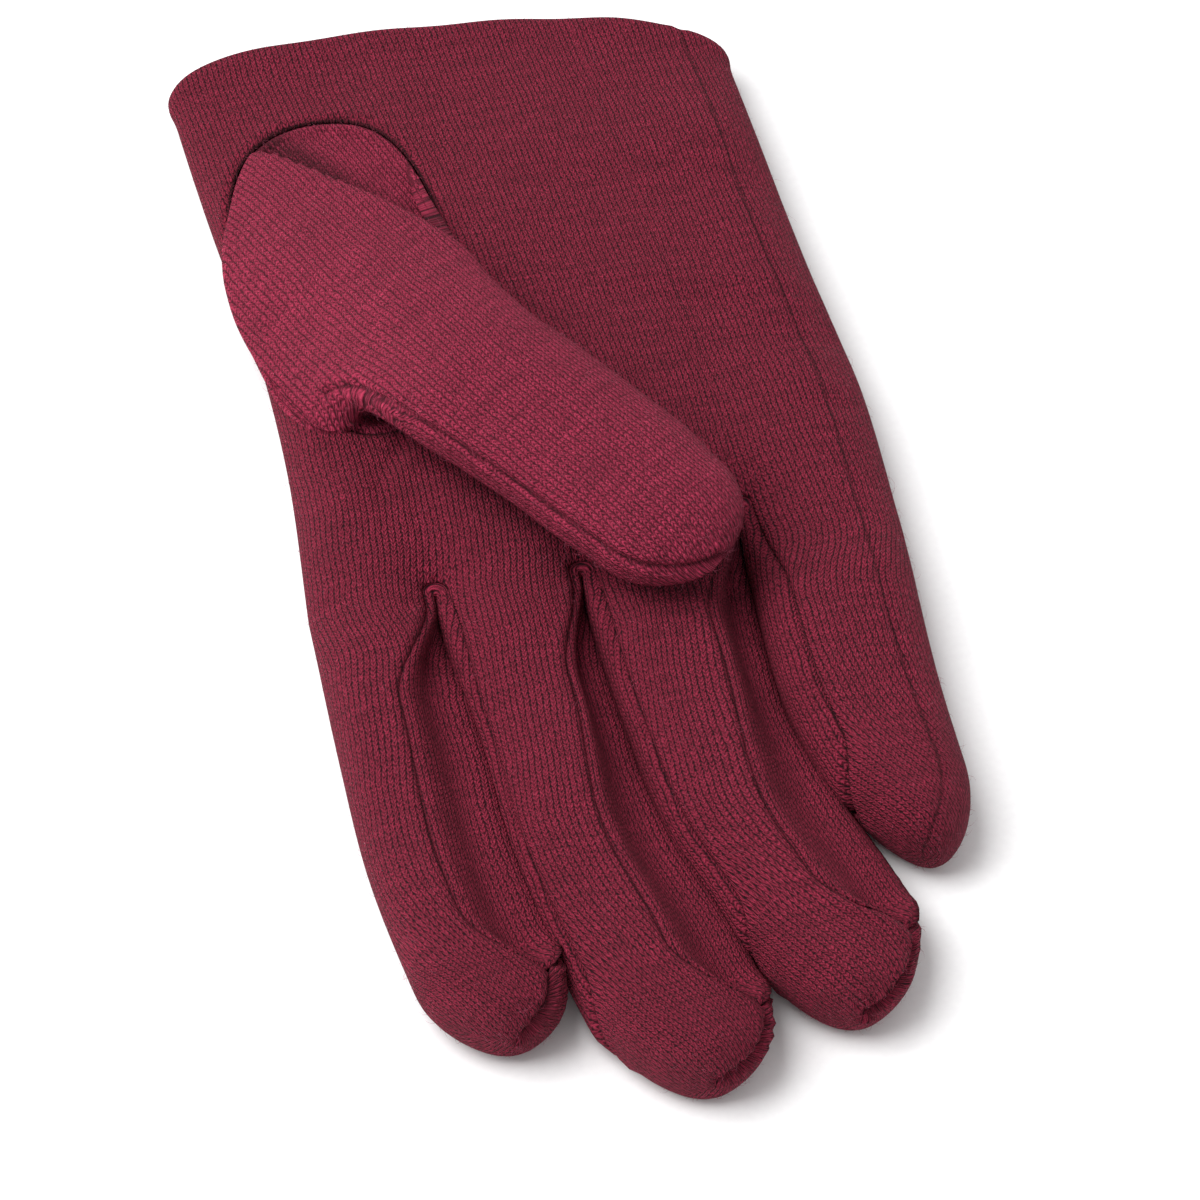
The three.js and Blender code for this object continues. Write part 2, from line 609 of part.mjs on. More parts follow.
function thumbGeometry() {
  const rings = [];
  const angles = Array.from({ length: THUMB_COLUMNS }, (_, i) => 2 * Math.PI * i / THUMB_COLUMNS);
  for (let row = 0; row < THUMB_BASE_ROWS; row += 1) {
    rings.push(angles.map((angle) => basePoint(row / THUMB_BASE_ROWS, angle)));
  }
  const lastSection = THUMB_SECTIONS[THUMB_SECTIONS.length - 1].along;
  for (let row = 0; row < THUMB_TUBE_ROWS; row += 1) {
    const along = lastSection * row / THUMB_TUBE_ROWS;
    rings.push(angles.map((angle) => tubePoint(along, angle, 1)));
  }
  for (let row = 0; row < THUMB_TIP_ROWS; row += 1) {
    const turn = 0.5 * Math.PI * row / THUMB_TIP_ROWS;
    const advance = (1 - lastSection) * Math.sin(turn) * THUMB_LENGTH;
    rings.push(angles.map((angle) => (
      tubePoint(lastSection, angle, Math.cos(turn)).addScaledVector(THUMB_DIRECTION, advance))));
  }
  const tip = tubePoint(lastSection, 0, 0)
    .addScaledVector(THUMB_DIRECTION, (1 - lastSection) * THUMB_LENGTH);
  const points = [...rings.flat(), tip];
  const faces = [];
  const vertex = (row, column) => row * THUMB_COLUMNS + (column % THUMB_COLUMNS);
  for (let row = 0; row < rings.length; row += 1) {
    for (let column = 0; column < THUMB_COLUMNS; column += 1) {
      const a = vertex(row, column);
      const b = vertex(row, column + 1);
      if (row === rings.length - 1) faces.push([a, b, points.length - 1]);
      else addQuad(faces, a, b, vertex(row + 1, column + 1), vertex(row + 1, column));
    }
  }
  const normals = vertexNormals(points, faces);
  const inner = points.map((point, i) => point.clone().addScaledVector(normals[i], -WALL));
  return wallGeometry(points, inner, faces);
}

// Upright plug over the palm side, which cuts the thumb hole out of the main piece.
function holePlugGeometry() {
  const sides = 2 * THUMB_COLUMNS;
  const shape = new THREE.Shape(Array.from({ length: sides }, (_, i) => {
    const point = holePoint(2 * Math.PI * i / sides, 0);
    return new THREE.Vector2(point.x, point.y);
  }));
  const plug = new THREE.ExtrudeGeometry(shape, { depth: PALM_HEIGHT, bevelEnabled: false });
  plug.translate(0, 0, 0.5 * PALM_HEIGHT);
  return plug;
}

const manifold = await Module();
manifold.setup();

function solidOf(geometry) {
  const bare = geometry.clone();
  bare.deleteAttribute('normal');
  bare.deleteAttribute('uv');
  const merged = mergeVertices(bare, 1e-4);
  return new manifold.Manifold(new manifold.Mesh({
    numProp: 3,
    vertProperties: new Float32Array(merged.attributes.position.array),
    triVerts: new Uint32Array(merged.index.array),
  }));
}

function geometryOf(solid) {
  const mesh = solid.getMesh();
  const geometry = new THREE.BufferGeometry();
  geometry.setAttribute('position', new THREE.BufferAttribute(new Float32Array(mesh.vertProperties), 3));
  geometry.setIndex(Array.from(mesh.triVerts));
  return geometry;
}

function clothMesh(name, geometry) {
  const material = new THREE.MeshStandardMaterial({
    color: CLOTH_COLOUR, roughness: CLOTH_ROUGHNESS, metalness: 0,
  });
  const mesh = new THREE.Mesh(geometry, material);
  mesh.name = name;
  return mesh;
}

const mainFaces = panelFaces();
const grids = [0, 1, 2].map(stripGrid);
const normals = vertexNormals(skin.points, [...mainFaces, ...grids.flatMap(gridFaces)]);

const glove = new THREE.Group();
const mainPiece = solidOf(mainPieceGeometry(mainFaces, normals)).subtract(solidOf(holePlugGeometry()));
glove.add(clothMesh('palm_and_back', geometryOf(mainPiece)));
grids.forEach((grid, i) => {
  const name = `fourchette_${FINGERS[i].name}_${FINGERS[i + 1].name}`;
  glove.add(clothMesh(name, sideStripGeometry(grid, normals)));
});
glove.add(clothMesh('thumb', thumbGeometry()));

const bounds = new THREE.Box3().setFromObject(glove);
const footprint = bounds.getCenter(new THREE.Vector3()).setZ(bounds.min.z);
glove.children.forEach((mesh) => mesh.geometry.translate(-footprint.x, -footprint.y, -footprint.z));

export default glove;
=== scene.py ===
"""Right-hand glove liner of fine burgundy wool jersey, lying palm up, the thumb folded over the palm.

Sizes in the functions are millimetres. y = 0 is the knuckle line where the fingers part, the
fingertips point to -Y, the open cuff to +Y, and the thumb side is -X.
"""
import math

import bpy
import numpy as np
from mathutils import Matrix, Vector


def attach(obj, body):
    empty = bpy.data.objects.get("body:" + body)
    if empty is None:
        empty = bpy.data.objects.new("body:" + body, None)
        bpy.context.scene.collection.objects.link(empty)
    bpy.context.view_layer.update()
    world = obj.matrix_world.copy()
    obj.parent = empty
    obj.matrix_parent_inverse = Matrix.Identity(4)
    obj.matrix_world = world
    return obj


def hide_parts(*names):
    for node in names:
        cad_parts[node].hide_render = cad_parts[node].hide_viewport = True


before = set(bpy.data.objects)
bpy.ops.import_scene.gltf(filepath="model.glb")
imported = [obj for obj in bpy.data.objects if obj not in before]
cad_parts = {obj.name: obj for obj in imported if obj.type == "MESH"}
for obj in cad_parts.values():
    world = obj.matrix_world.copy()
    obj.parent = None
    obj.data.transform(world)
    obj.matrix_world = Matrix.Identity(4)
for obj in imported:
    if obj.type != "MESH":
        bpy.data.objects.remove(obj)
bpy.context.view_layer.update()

MM = 0.001
CENTRE = np.array([-2.122, 13.030, 0.0])      # the frame's origin, in these coordinates

# Hand
PALM_LENGTH = 116.0
CUFF_SLANT = 10.0
CUFF_CORNER = 3.0
PALM_HEIGHT = 13.0
CUFF_HEIGHT = 12.0
FINGER_HEIGHT = 14.0
EDGE_ROUND = 10.5
WEB_DEPTH = 1.5
FINGER_GAP = 0.5
TIP_LENGTH = 0.6
JOIN_DEPTH = 0.309            # where the side strip ends, as a share of the rounded tip

# Cloth
WALL = 1.2
HEM_WALL = 2.2
HEM_WIDTH = 20.0
HEM_ROUND = 1.05
CUFF_DROP = 2.6               # how far the palm side sinks towards the cuff's edge
SKIN_INSET = 0.25             # how far the cloth lies inside the plain shape
FLAT_POWER = 2.2              # of the superellipse that rounds the side edges

# Side strips between the fingers
STRIP_HALF_ANGLE = math.radians(51)
SEAM_RUN_IN = 22.0
STRIP_TAPER = 11.0
CROTCH_SEAM = 1.3
STRIP_SINK = 4.4              # deepest sink of a strip's first leg
STRIP_SINK_SHARE = 0.36       # the same, as a share of the strip's width where that is less
STRIP_SIDE_ON = -0.30         # angle round the finger, in radians, at which the sink ends
RIGHT_FLANK, LEFT_FLANK = 1.1, 0.8    # swell of the lower flank on each leg

# Thumb
THUMB_HOLE = {"length": 65.0, "width": 30.6, "turn": math.radians(-1),
              "across": -0.316, "back": 0.542}
THUMB_START = {"across": -0.148, "back": 0.241}
THUMB_ANGLE = math.radians(-54)
THUMB_LENGTH = 47.3
THUMB_SEAM_TURN = 170         # degrees round the tube from its palm-side edge
THUMB_WIDTH = 25.0
THUMB_HEIGHT = 14.0
THUMB_CLEARANCE = 0.6
THUMB_RISE = 14.0
THUMB_LEAN = 16.0
THUMB_REACH = 26.0
SEAM_GAP = 0.3
FOLD_CLOTH = 6.0              # cloth that goes down the fold over the gusset

FINGERS = ("index", "middle", "ring", "little")
FINGER_WIDTH = np.array([18.7, 21.3, 24.6, 23.0])
FINGER_LENGTH = np.array([78.0, 89.8, 82.8, 58.2])
SEAM_ROLL_LEFT = np.radians([40.0, 34.0, 30.0, 6.0])
SEAM_ROLL_RIGHT = np.radians([40.0, 20.0, 22.0, 16.0])
END_ROLL_RIGHT = np.radians([6.0, 18.0, 20.0, 0.0])    # added towards the fingertip
LEFT_ROUND = (8.5, 7.0, 7.0, 7.0)
RIGHT_ROUND = (12.0, 12.0, 12.0, 9.0)
CROTCH = (0.0, 0.0, 8.0)
PALM_WIDTH = FINGER_WIDTH.sum()
LONGEST = FINGER_LENGTH.max()
KNUCKLE_EDGES = np.concatenate([[0.0], np.cumsum(FINGER_WIDTH)]) - PALM_WIDTH / 2

# Sideways drift of the five edge lines in front of the knuckles, as shares of the palm's width.
DRIFT_REACH = (0.00, 0.30, 0.52, 0.74, 1.00)
FINGER_DRIFT = (
    (0.000, 0.002, 0.010, 0.042, 0.095),
    (0.000, 0.025, 0.035, 0.070, 0.129),
    (0.000, 0.019, 0.043, 0.105, 0.148),
    (0.000, -0.001, 0.039, 0.100, 0.110),
    (0.000, -0.015, -0.014, -0.006, 0.010),
)
# Drift of the hand's two side edges behind the knuckles.
HAND_BACK = (0.00, 0.24, 0.46, 0.67, 0.87, 1.00)
HAND_LEFT = (0.000, 0.016, 0.008, -0.024, -0.047, -0.056)
HAND_RIGHT = (0.000, 0.002, -0.024, -0.041, -0.057, -0.068)

# Broad dents: across, back, half length, half width (shares of the palm), turn in degrees, depth.
DENTS = (
    (-0.30, 0.26, 0.16, 0.08, 20, 0.14),
    (-0.08, 0.20, 0.20, 0.10, -54, 0.10),
    (-0.28, 0.06, 0.22, 0.05, 90, 0.07),
    (-0.04, 0.07, 0.22, 0.05, 90, 0.09),
    (0.23, 0.10, 0.22, 0.05, 88, 0.12),
    (0.30, 0.62, 0.34, 0.07, -12, 0.06),
    (-0.05, 0.80, 0.30, 0.08, 96, 0.07),
    (0.47, 0.32, 0.12, 0.05, 0, 0.10),
)
# Small folds and ridges in mm: x, y, half length, half width, turn in degrees, height (- is a fold).
FOLDS = (
    (-26.0, 27.0, 11.0, 1.6, 64, -0.9),
    (-22.0, 26.0, 9.0, 1.3, 40, 0.5),
    (-30.0, 22.0, 9.0, 1.5, 96, -0.5),
    (-16.0, 22.0, 12.0, 1.8, 20, -0.5),
    (20.0, 52.0, 20.0, 2.6, -14, 0.35),
    (24.0, 46.0, 18.0, 2.2, -10, -0.35),
    (37.0, 22.0, 5.0, 1.1, -4, -0.45),
    (38.0, 26.0, 5.0, 1.1, -8, 0.3),
    (37.0, 18.0, 4.0, 1.0, 0, 0.25),
    (-27.0, -3.0, 7.0, 1.4, 28, -0.35),
    (-3.0, -4.0, 7.0, 1.4, -30, -0.3),
    (4.0, -5.0, 7.0, 1.4, 48, 0.25),
    (24.0, 3.0, 6.0, 1.4, 40, -0.3),
)

# Mesh density
HAND_ROWS = 104
HEM_ROWS = 8
WEB_ROWS = 6
FINGER_ROWS = 74
TIP_ROWS = 18
PANEL_COLUMNS = 26
STRIP_COLUMNS = 20
WEB_ROW = HAND_ROWS + WEB_ROWS
TIP_ROW = WEB_ROW + FINGER_ROWS
LAST_ROW = TIP_ROW + TIP_ROWS
ROWS = np.arange(LAST_ROW + 1)

LEFT, RIGHT = -1, 1
PALM, BACK = 1, -1
PANEL_EDGES = ((0, RIGHT), (PANEL_COLUMNS, LEFT))


def smooth(share):
    """3t2 - 2t3 of a share held between 0 and 1."""
    t = np.clip(share, 0.0, 1.0)
    return t * t * (3 - 2 * t)


def lerp(a, b, t):
    return a + (b - a) * t


def curve_through(keys, values, at):
    """Cubic curve through the values, whose slope at each key is that of its two neighbours."""
    keys, values = np.asarray(keys, float), np.asarray(values, float)
    n = np.arange(len(keys))
    low, high = np.maximum(n - 1, 0), np.minimum(n + 1, len(keys) - 1)
    slope = (values[high] - values[low]) / (keys[high] - keys[low])
    at = np.clip(at, keys[0], keys[-1])
    i = np.clip(np.searchsorted(keys, at) - 1, 0, len(keys) - 2)
    span = keys[i + 1] - keys[i]
    t = (at - keys[i]) / span
    rest = 1 - t
    return (values[i] * rest ** 2 * (1 + 2 * t) + slope[i] * span * t * rest ** 2
            + values[i + 1] * t ** 2 * (3 - 2 * t) - slope[i + 1] * span * t ** 2 * rest)


def edge_line(edge, y):
    """x of the line between two fingers: its place on the knuckles plus its drift at this y."""
    y = np.asarray(y, float)
    drift = curve_through(DRIFT_REACH, FINGER_DRIFT[edge], -y / LONGEST)
    front = KNUCKLE_EDGES[edge] + PALM_WIDTH * drift
    left = KNUCKLE_EDGES[0] + PALM_WIDTH * curve_through(HAND_BACK, HAND_LEFT, y / PALM_LENGTH)
    right = KNUCKLE_EDGES[4] + PALM_WIDTH * curve_through(HAND_BACK, HAND_RIGHT, y / PALM_LENGTH)
    share = (KNUCKLE_EDGES[edge] - KNUCKLE_EDGES[0]) / PALM_WIDTH
    return np.where(y <= 0, front, lerp(left, right, share))


def is_outer(finger, side):
    return (finger == 0 and side == LEFT) or (finger == 3 and side == RIGHT)


def edge_of(finger, side):
    return finger + 1 if side == RIGHT else finger


def crotch_level(finger, side):
    return CROTCH[min(max(finger if side == RIGHT else finger - 1, 0), 2)]


def tip_length(finger):
    return TIP_LENGTH * FINGER_WIDTH[finger]


def tip_start(finger):
    return tip_length(finger) - FINGER_LENGTH[finger]


def strip(finger, y):
    """Middle and half width of a finger's own strip of the plan: between its edge lines, less the
    gap, and round at the tip as a quarter ellipse."""
    sides = []
    for side in (LEFT, RIGHT):
        edge = edge_line(edge_of(finger, side), y)
        if not is_outer(finger, side):
            short = np.clip((y - crotch_level(finger, side)) / (0.5 * FINGER_GAP), 0, 1)
            edge = edge - side * 0.5 * FINGER_GAP * np.sqrt(1 - short * short)
        sides.append(edge)
    into = np.clip((tip_start(finger) - y) / tip_length(finger), 0, 1)
    return 0.5 * (sides[0] + sides[1]), 0.5 * (sides[1] - sides[0]) * np.sqrt(1 - into * into)


def half_height(y):
    """Half the glove's height: the palm's falls to the cuff's, and passes to the fingers' at y = 0."""
    palm = lerp(PALM_HEIGHT, CUFF_HEIGHT, smooth(y / PALM_LENGTH))
    return 0.5 * lerp(palm, FINGER_HEIGHT, smooth(-y / EDGE_ROUND))


def fullness(distance, round_):
    """0 on a side edge, 1 where the glove lies flat: a superellipse of the flat power."""
    q = np.clip(distance / round_, 0, 1)
    return (1 - (1 - q) ** FLAT_POWER) ** (1 / FLAT_POWER)


def side_fullness(finger, side, x, y):
    """Fullness by the distance from one side edge, or from the crotch's point behind it."""
    crotch = crotch_level(finger, side)
    own = LEFT_ROUND[finger] if side == LEFT else RIGHT_ROUND[finger]
    round_ = lerp(EDGE_ROUND, own, smooth((crotch - y) / (1.5 * EDGE_ROUND)))
    middle, half = strip(finger, y)
    straight = side * (middle + side * half - x)
    if is_outer(finger, side):
        return fullness(straight, round_)
    radial = np.hypot(x - edge_line(edge_of(finger, side), crotch), y - crotch) - 0.5 * FINGER_GAP
    return fullness(np.where(y > crotch, radial, straight), round_)


def bell(x, y, table):
    """Sum of bell-shaped bumps, each long along its own direction and narrow across it."""
    total = np.zeros_like(x)
    for px, py, long, wide, turn, height in table:
        a = math.radians(turn)
        along = ((x - px) * math.cos(a) + (y - py) * math.sin(a)) / long
        aside = ((y - py) * math.cos(a) - (x - px) * math.sin(a)) / wide
        total = total + height * np.exp(-along ** 2 - aside ** 2)
    return total


BROAD_DENTS = [(across * PALM_WIDTH, back * PALM_LENGTH, long * PALM_WIDTH, wide * PALM_WIDTH, turn,
                depth * PALM_HEIGHT) for across, back, long, wide, turn, depth in DENTS]


def limpness(x, y, seed):
    """Slack of the cloth: five crossing sine waves of 9 to 30 mm, a few tenths of a mm high."""
    rng = np.random.default_rng(seed)
    total = np.zeros_like(x)
    for _ in range(5):
        length, turn = rng.uniform(9, 30), rng.uniform(0, math.pi)
        phase = rng.uniform(0, 2 * math.pi)
        run = x * math.cos(turn) + y * math.sin(turn)
        total = total + np.sin(2 * math.pi * run / length + phase) * length * 0.0055
    return total


def cloth_point(finger, x, y, sheet):
    """Place on the glove's outside: half height times fullness, above or below the middle, and on
    the palm side more by the folds and less by the dents and by the drop towards the cuff."""
    full = side_fullness(finger, LEFT, x, y) * side_fullness(finger, RIGHT, x, y)
    half = half_height(y)
    above = np.asarray(sheet) > 0
    relief = (limpness(x, y, 5) + bell(x, y, FOLDS) - bell(x, y, BROAD_DENTS)) * full
    low = 0.35 * np.minimum(limpness(x, y, 9), 0) * full
    relief = relief - CUFF_DROP * smooth((y - 78) / 34) * full
    height = np.where(above, half * full + relief, -half * full - low)
    return np.stack([x, y, half + height], axis=-1)


def ring_point(finger, y, angle, sheet):
    """Place on a row of the strip at an angle round it, counted from +X over the palm side."""
    middle, half = strip(finger, y)
    lift = np.sin(angle)
    side = np.where(np.abs(lift) < 1e-9, sheet, np.sign(lift))
    return cloth_point(finger, middle + half * np.cos(angle), y, side)


def cuff_edge(share):
    """y of the cuff's edge: a parabola that slants to the little finger, rounded at both corners."""
    across = 2 * share - 1
    return PALM_LENGTH - CUFF_SLANT * 0.64 * (across + 0.25) ** 2 - CUFF_CORNER * np.abs(across) ** 12


HEM_EDGE = 0.017              # share of the hand's length that the close rows at the cuff take
HAND_PLACES = np.concatenate([
    HEM_EDGE * (np.arange(HEM_ROWS) / HEM_ROWS) ** 2,
    np.linspace(HEM_EDGE, 1.0, HAND_ROWS - HEM_ROWS + 1)])


def web_turn(row):
    return 0.5 * math.pi * (WEB_ROW - row) / WEB_ROWS


def row_level(finger, side):
    """y of every row on one side edge of a strip, from the cuff (row 0) to the fingertip."""
    crotch = crotch_level(finger, side)
    share = (KNUCKLE_EDGES[edge_of(finger, side)] - KNUCKLE_EDGES[0]) / PALM_WIDTH
    hand = lerp(cuff_edge(share) - 0.6, crotch + WEB_DEPTH, HAND_PLACES)
    web = crotch + WEB_DEPTH * np.sin(web_turn(np.arange(HAND_ROWS + 1, WEB_ROW + 1)))
    free = lerp(crotch, tip_start(finger), np.arange(1, FINGER_ROWS + 1) / FINGER_ROWS)
    turn = 0.5 * math.pi * np.arange(1, TIP_ROWS + 1) / TIP_ROWS
    return np.concatenate([hand, web, free, tip_start(finger) - tip_length(finger) * np.sin(turn)])


def join_level(finger):
    return tip_start(finger) - JOIN_DEPTH * tip_length(finger)


def join_row(finger, side):
    """The first row at or past the end of the side strip."""
    return int(np.searchsorted(-row_level(finger, side), -join_level(finger)))


def seam_angle(finger, side, sheet):
    """Angle of the seam between panel and side strip on every row: it opens over the run-in behind
    the crotch, and closes again over the taper before the fingertip."""
    centre = 0.0 if side == RIGHT else math.pi
    if is_outer(finger, side):
        return np.full(LAST_ROW + 1, centre)
    y = row_level(finger, side)
    crotch = crotch_level(finger, side)
    half = strip(finger, np.minimum(y, crotch))[1]
    start = np.arccos(np.maximum(1 - CROTCH_SEAM / np.maximum(half, CROTCH_SEAM), 0))
    along = smooth((crotch - y) / SEAM_RUN_IN)
    away = 1 - np.clip((y - join_level(finger)) / STRIP_TAPER, 0, 1)
    spread = lerp(start, STRIP_HALF_ANGLE, along) * (1 - away * away)
    roll = SEAM_ROLL_LEFT if side == LEFT else SEAM_ROLL_RIGHT
    angle = centre + roll[finger] * along + side * sheet * spread
    if side == RIGHT:
        before_tip = smooth((y - tip_start(finger)) / 6 + 1)
        angle = angle + END_ROLL_RIGHT[finger] * smooth((-20 - y) / 35) * before_tip
    return np.where(ROWS <= HAND_ROWS, centre, angle)


def web_seam(finger, side, row):
    """The seam's place in the plan on the rows where it goes round the crotch: a small ellipse."""
    crotch = crotch_level(finger, side)
    aside = (CROTCH_SEAM + 0.5 * FINGER_GAP) * np.cos(web_turn(row))
    x = edge_line(edge_of(finger, side), crotch) - side * aside
    return x, crotch + WEB_DEPTH * np.sin(web_turn(row))


def end_angle(finger, side, sheet):
    """The seam's angle, and on the rows round the crotch the angle at which the small ellipse lies."""
    angle = seam_angle(finger, side, sheet)
    if is_outer(finger, side):
        return angle
    row = np.arange(HAND_ROWS + 1, WEB_ROW)
    x, y = web_seam(finger, side, row)
    middle, half = strip(finger, y)
    turned = sheet * np.arccos(np.clip((x - middle) / half, -1, 1))
    angle = angle.copy()
    angle[row] = turned
    return angle


def run_length(points, axis):
    """Distance covered along one axis of a grid of points, from its first line."""
    steps = np.linalg.norm(np.diff(points, axis=axis), axis=-1)
    start = np.zeros_like(np.take(steps, [0], axis=axis))
    return np.concatenate([start, np.cumsum(steps, axis=axis)], axis=axis)


def grain(x, y):
    """Sideways run of the ribs in mm: they lean one way in front of the knuckles, straighten behind
    them, and lean the other way along the little-finger edge."""
    steps = np.linspace(-60, 130, 191)
    lean = np.tan(np.radians(lerp(7.0, -6.0, smooth((steps + 5) / 50)))) * smooth((steps + 60) / 20)
    run = -np.cumsum(lean)
    run = run - np.interp(0, steps, run)
    by_edge = smooth((x + 5) / 42)
    along_edge = np.where(y > 0, 0.095 * y, 0.02 * y)
    return lerp(np.interp(y, steps, run), along_edge, by_edge)


# How the knit turns to a fingertip's seam: it starts this many mm before the rounded tip, over
# this softness, and leans by these shares of the way ahead (u) and of the way aside (v).
TIP_TURN_START, TIP_TURN_SOFT = 9, 4
TIP_TURN_U, TIP_TURN_V = 0.50, 0.42


def panel_grid(finger, sheet):
    """Palm-side or back panel of one finger, carried on to the cuff: rows across the strip, whose
    columns are spaced by the angle between its two seams. Its knit coordinates: u is the way round
    from the finger's top line, plus the ribs' lean; v is y, turned with the finger's bend and, at
    the tip, turned to the tip seam."""
    share = np.linspace(0, 1, PANEL_COLUMNS + 1)[None, :]
    right = end_angle(finger, RIGHT, sheet)[:, None]
    left = end_angle(finger, LEFT, sheet)[:, None]
    if sheet == BACK:
        left = np.where(left > 0, left - 2 * math.pi, left)
    blend = share ** 3 * (share * (6 * share - 15) + 10)
    y = lerp(row_level(finger, RIGHT)[:, None], row_level(finger, LEFT)[:, None], blend)
    at_edges = (KNUCKLE_EDGES[[finger + 1, finger]] - KNUCKLE_EDGES[0]) / PALM_WIDTH
    true_edge = cuff_edge(lerp(*at_edges, 0.5 - 0.5 * np.cos(math.pi * share)))
    y[:HAND_ROWS + 1] += (true_edge - lerp(*cuff_edge(at_edges), blend)) * (1 - HAND_PLACES[:, None])
    points = ring_point(finger, y, lerp(right, left, share), sheet)
    crown = PANEL_COLUMNS // 2
    run = run_length(points, 1)
    middle = strip(finger, y)[0]
    # Column over the strip's middle line, as a whole number and a remainder
    top = PANEL_COLUMNS * (sheet * 0.5 * math.pi - right) / (left - right)
    low = np.clip(top.astype(int), 0, PANEL_COLUMNS - 1)

    def at_top(values):
        return lerp(np.take_along_axis(values, low, 1),
                    np.take_along_axis(values, low + 1, 1), top - low)

    ahead = at_top(run) - run
    flat = points[..., 0] - at_top(points[..., 0])
    outward = (finger == 0) * (flat < 0) + (finger == 3) * (flat > 0)
    on_hand = points[..., 0] + outward * (ahead - flat)
    on_finger = points[WEB_ROW, crown, 0] + ahead
    u = lerp(on_hand, on_finger, smooth(-y / 14)) + grain(points[WEB_ROW, crown, 0] + flat, y)
    turn = np.gradient(middle[:, crown], y[:, crown])[:, None]
    turn = np.where(np.isfinite(turn), turn, 0) * smooth(-y / 15)
    down = run_length(points[:, crown:crown + 1], 0) + y[:, crown:crown + 1]
    beyond_tip = np.where(ROWS[:, None] > TIP_ROW, down - down[TIP_ROW], 0)
    v = y - turn * (points[..., 0] - middle) - beyond_tip
    to_tip = tip_start(finger) + TIP_TURN_START - v
    u = u - TIP_TURN_U * TIP_TURN_SOFT * np.logaddexp(0, to_tip / TIP_TURN_SOFT)
    v = v - TIP_TURN_V * smooth(to_tip / 12) * (points[..., 0] - middle)
    return points, np.stack([u, v], axis=-1)


def grid_quads(ids):
    """Four corners of every cell of a grid of vertex numbers."""
    return np.stack([ids[:-1, :-1], ids[:-1, 1:], ids[1:, 1:], ids[1:, :-1]], axis=-1).reshape(-1, 4)


def vertex_normals(points, quads):
    """Sum of the faces' cross products at each vertex, made one long."""
    corner = points[quads]
    face = np.cross(corner[:, 2] - corner[:, 0], corner[:, 3] - corner[:, 1])
    normals = np.stack([np.bincount(quads.ravel(), np.repeat(face[:, k], 4), len(points))
                        for k in range(3)], -1)
    return normals / np.maximum(np.linalg.norm(normals, axis=1, keepdims=True), 1e-12)


def nearest_on(points, line):
    """Distance from each point to the nearest point of the lines, and which one that is."""
    distance, nearest = np.empty(len(points)), np.empty(len(points), int)
    for start in range(0, len(points), 2000):
        part = slice(start, start + 2000)
        gap = ((points[part, None] - line[None]) ** 2).sum(-1)
        nearest[part] = gap.argmin(1)
        distance[part] = np.sqrt(gap.min(1))
    return distance, nearest


def closed_wall(points, normals, quads, corner_uv, wall):
    """Cloth with a thickness: the outer sheet, the same sheet moved inwards by the wall, and a rim
    along every open edge. Each outer face is kept, and its copy on the inside is turned round."""
    count = len(points)
    inner = points - normals * wall[:, None]
    starts, ends = quads.ravel(), np.roll(quads, -1, axis=1).ravel()
    real = starts != ends
    open_edge = real & ~np.isin(starts * count + ends, (ends * count + starts)[real])
    a, b = starts[open_edge], ends[open_edge]
    uv_a = corner_uv.reshape(-1, 2)[open_edge]
    uv_b = np.roll(corner_uv, -1, axis=1).reshape(-1, 2)[open_edge]
    rim = np.stack([b, a, a + count, b + count], axis=1)
    faces = np.concatenate([quads, quads[:, ::-1] + count, rim])
    uv = np.concatenate([corner_uv, corner_uv[:, ::-1], np.stack([uv_b, uv_a, uv_a, uv_b], axis=1)])
    return np.concatenate([points, inner]), faces, uv


def seam_values(distance, run, dark):
    """Vertex values that the cloth's material reads, the same for the outer and the inner sheet."""
    # The third value is how dark the painted shade along the nearest seam is.
    return {"seam": np.tile(distance, 2), "seam_run": np.tile(run, 2), "seam_painted_shade": np.tile(dark, 2)}


def put_mesh(name, points, faces, corner_uv=None, attributes=None):
    """Object at the origin whose mesh holds the points, in metres of the frame. A face that names
    the same vertex twice becomes a triangle."""
    repeated = faces == np.roll(faces, -1, axis=1)
    four = ~repeated.any(axis=1)
    three = repeated.sum(axis=1) == 1
    keep = ~repeated[three]
    loops = np.concatenate([faces[four].ravel(), faces[three][keep]])
    sizes = np.concatenate([np.full(four.sum(), 4), np.full(three.sum(), 3)])
    mesh = bpy.data.meshes.new(name)
    mesh.vertices.add(len(points))
    mesh.vertices.foreach_set("co", ((points - CENTRE) * MM).ravel())
    mesh.loops.add(len(loops))
    mesh.loops.foreach_set("vertex_index", loops)
    mesh.polygons.add(len(sizes))
    mesh.polygons.foreach_set("loop_start", np.concatenate([[0], np.cumsum(sizes)[:-1]]))
    if corner_uv is not None:
        uv = np.concatenate([corner_uv[four].reshape(-1, 2), corner_uv[three][keep]])
        mesh.uv_layers.new(name="knit").data.foreach_set("uv", uv.ravel())
    for key, values in (attributes or {}).items():
        mesh.attributes.new(key, "FLOAT", "POINT").data.foreach_set("value", values)
    mesh.update(calc_edges=True)
    mesh.validate()
    mesh.shade_smooth()
    piece = bpy.data.objects.new(name, mesh)
    bpy.context.scene.collection.objects.link(piece)
    return piece


# How each kind of seam looks: depth of the dip, swell of the turned-in edge beside it, pucker (mm),
# half width of the dip, and how dark the painted shade of its groove is along its line.
SEAM_KINDS = {
    "strip": (0.40, 0.34, 0.05, 0.50, 0.35),
    "crotch": (0.20, 0.12, 0.00, 0.40, 0.30),
    "tip": (1.05, 0.34, 0.26, 0.62, 1.00),
    "side": (0.34, 0.05, 0.03, 0.32, 0.70),
    "rim": (0.55, 0.22, 0.00, 0.60, 1.00),
    "thumb": (0.50, 0.28, 0.12, 0.45, 0.80),
}
LINE_STEP = 0.45              # mm between the points of a seam's line


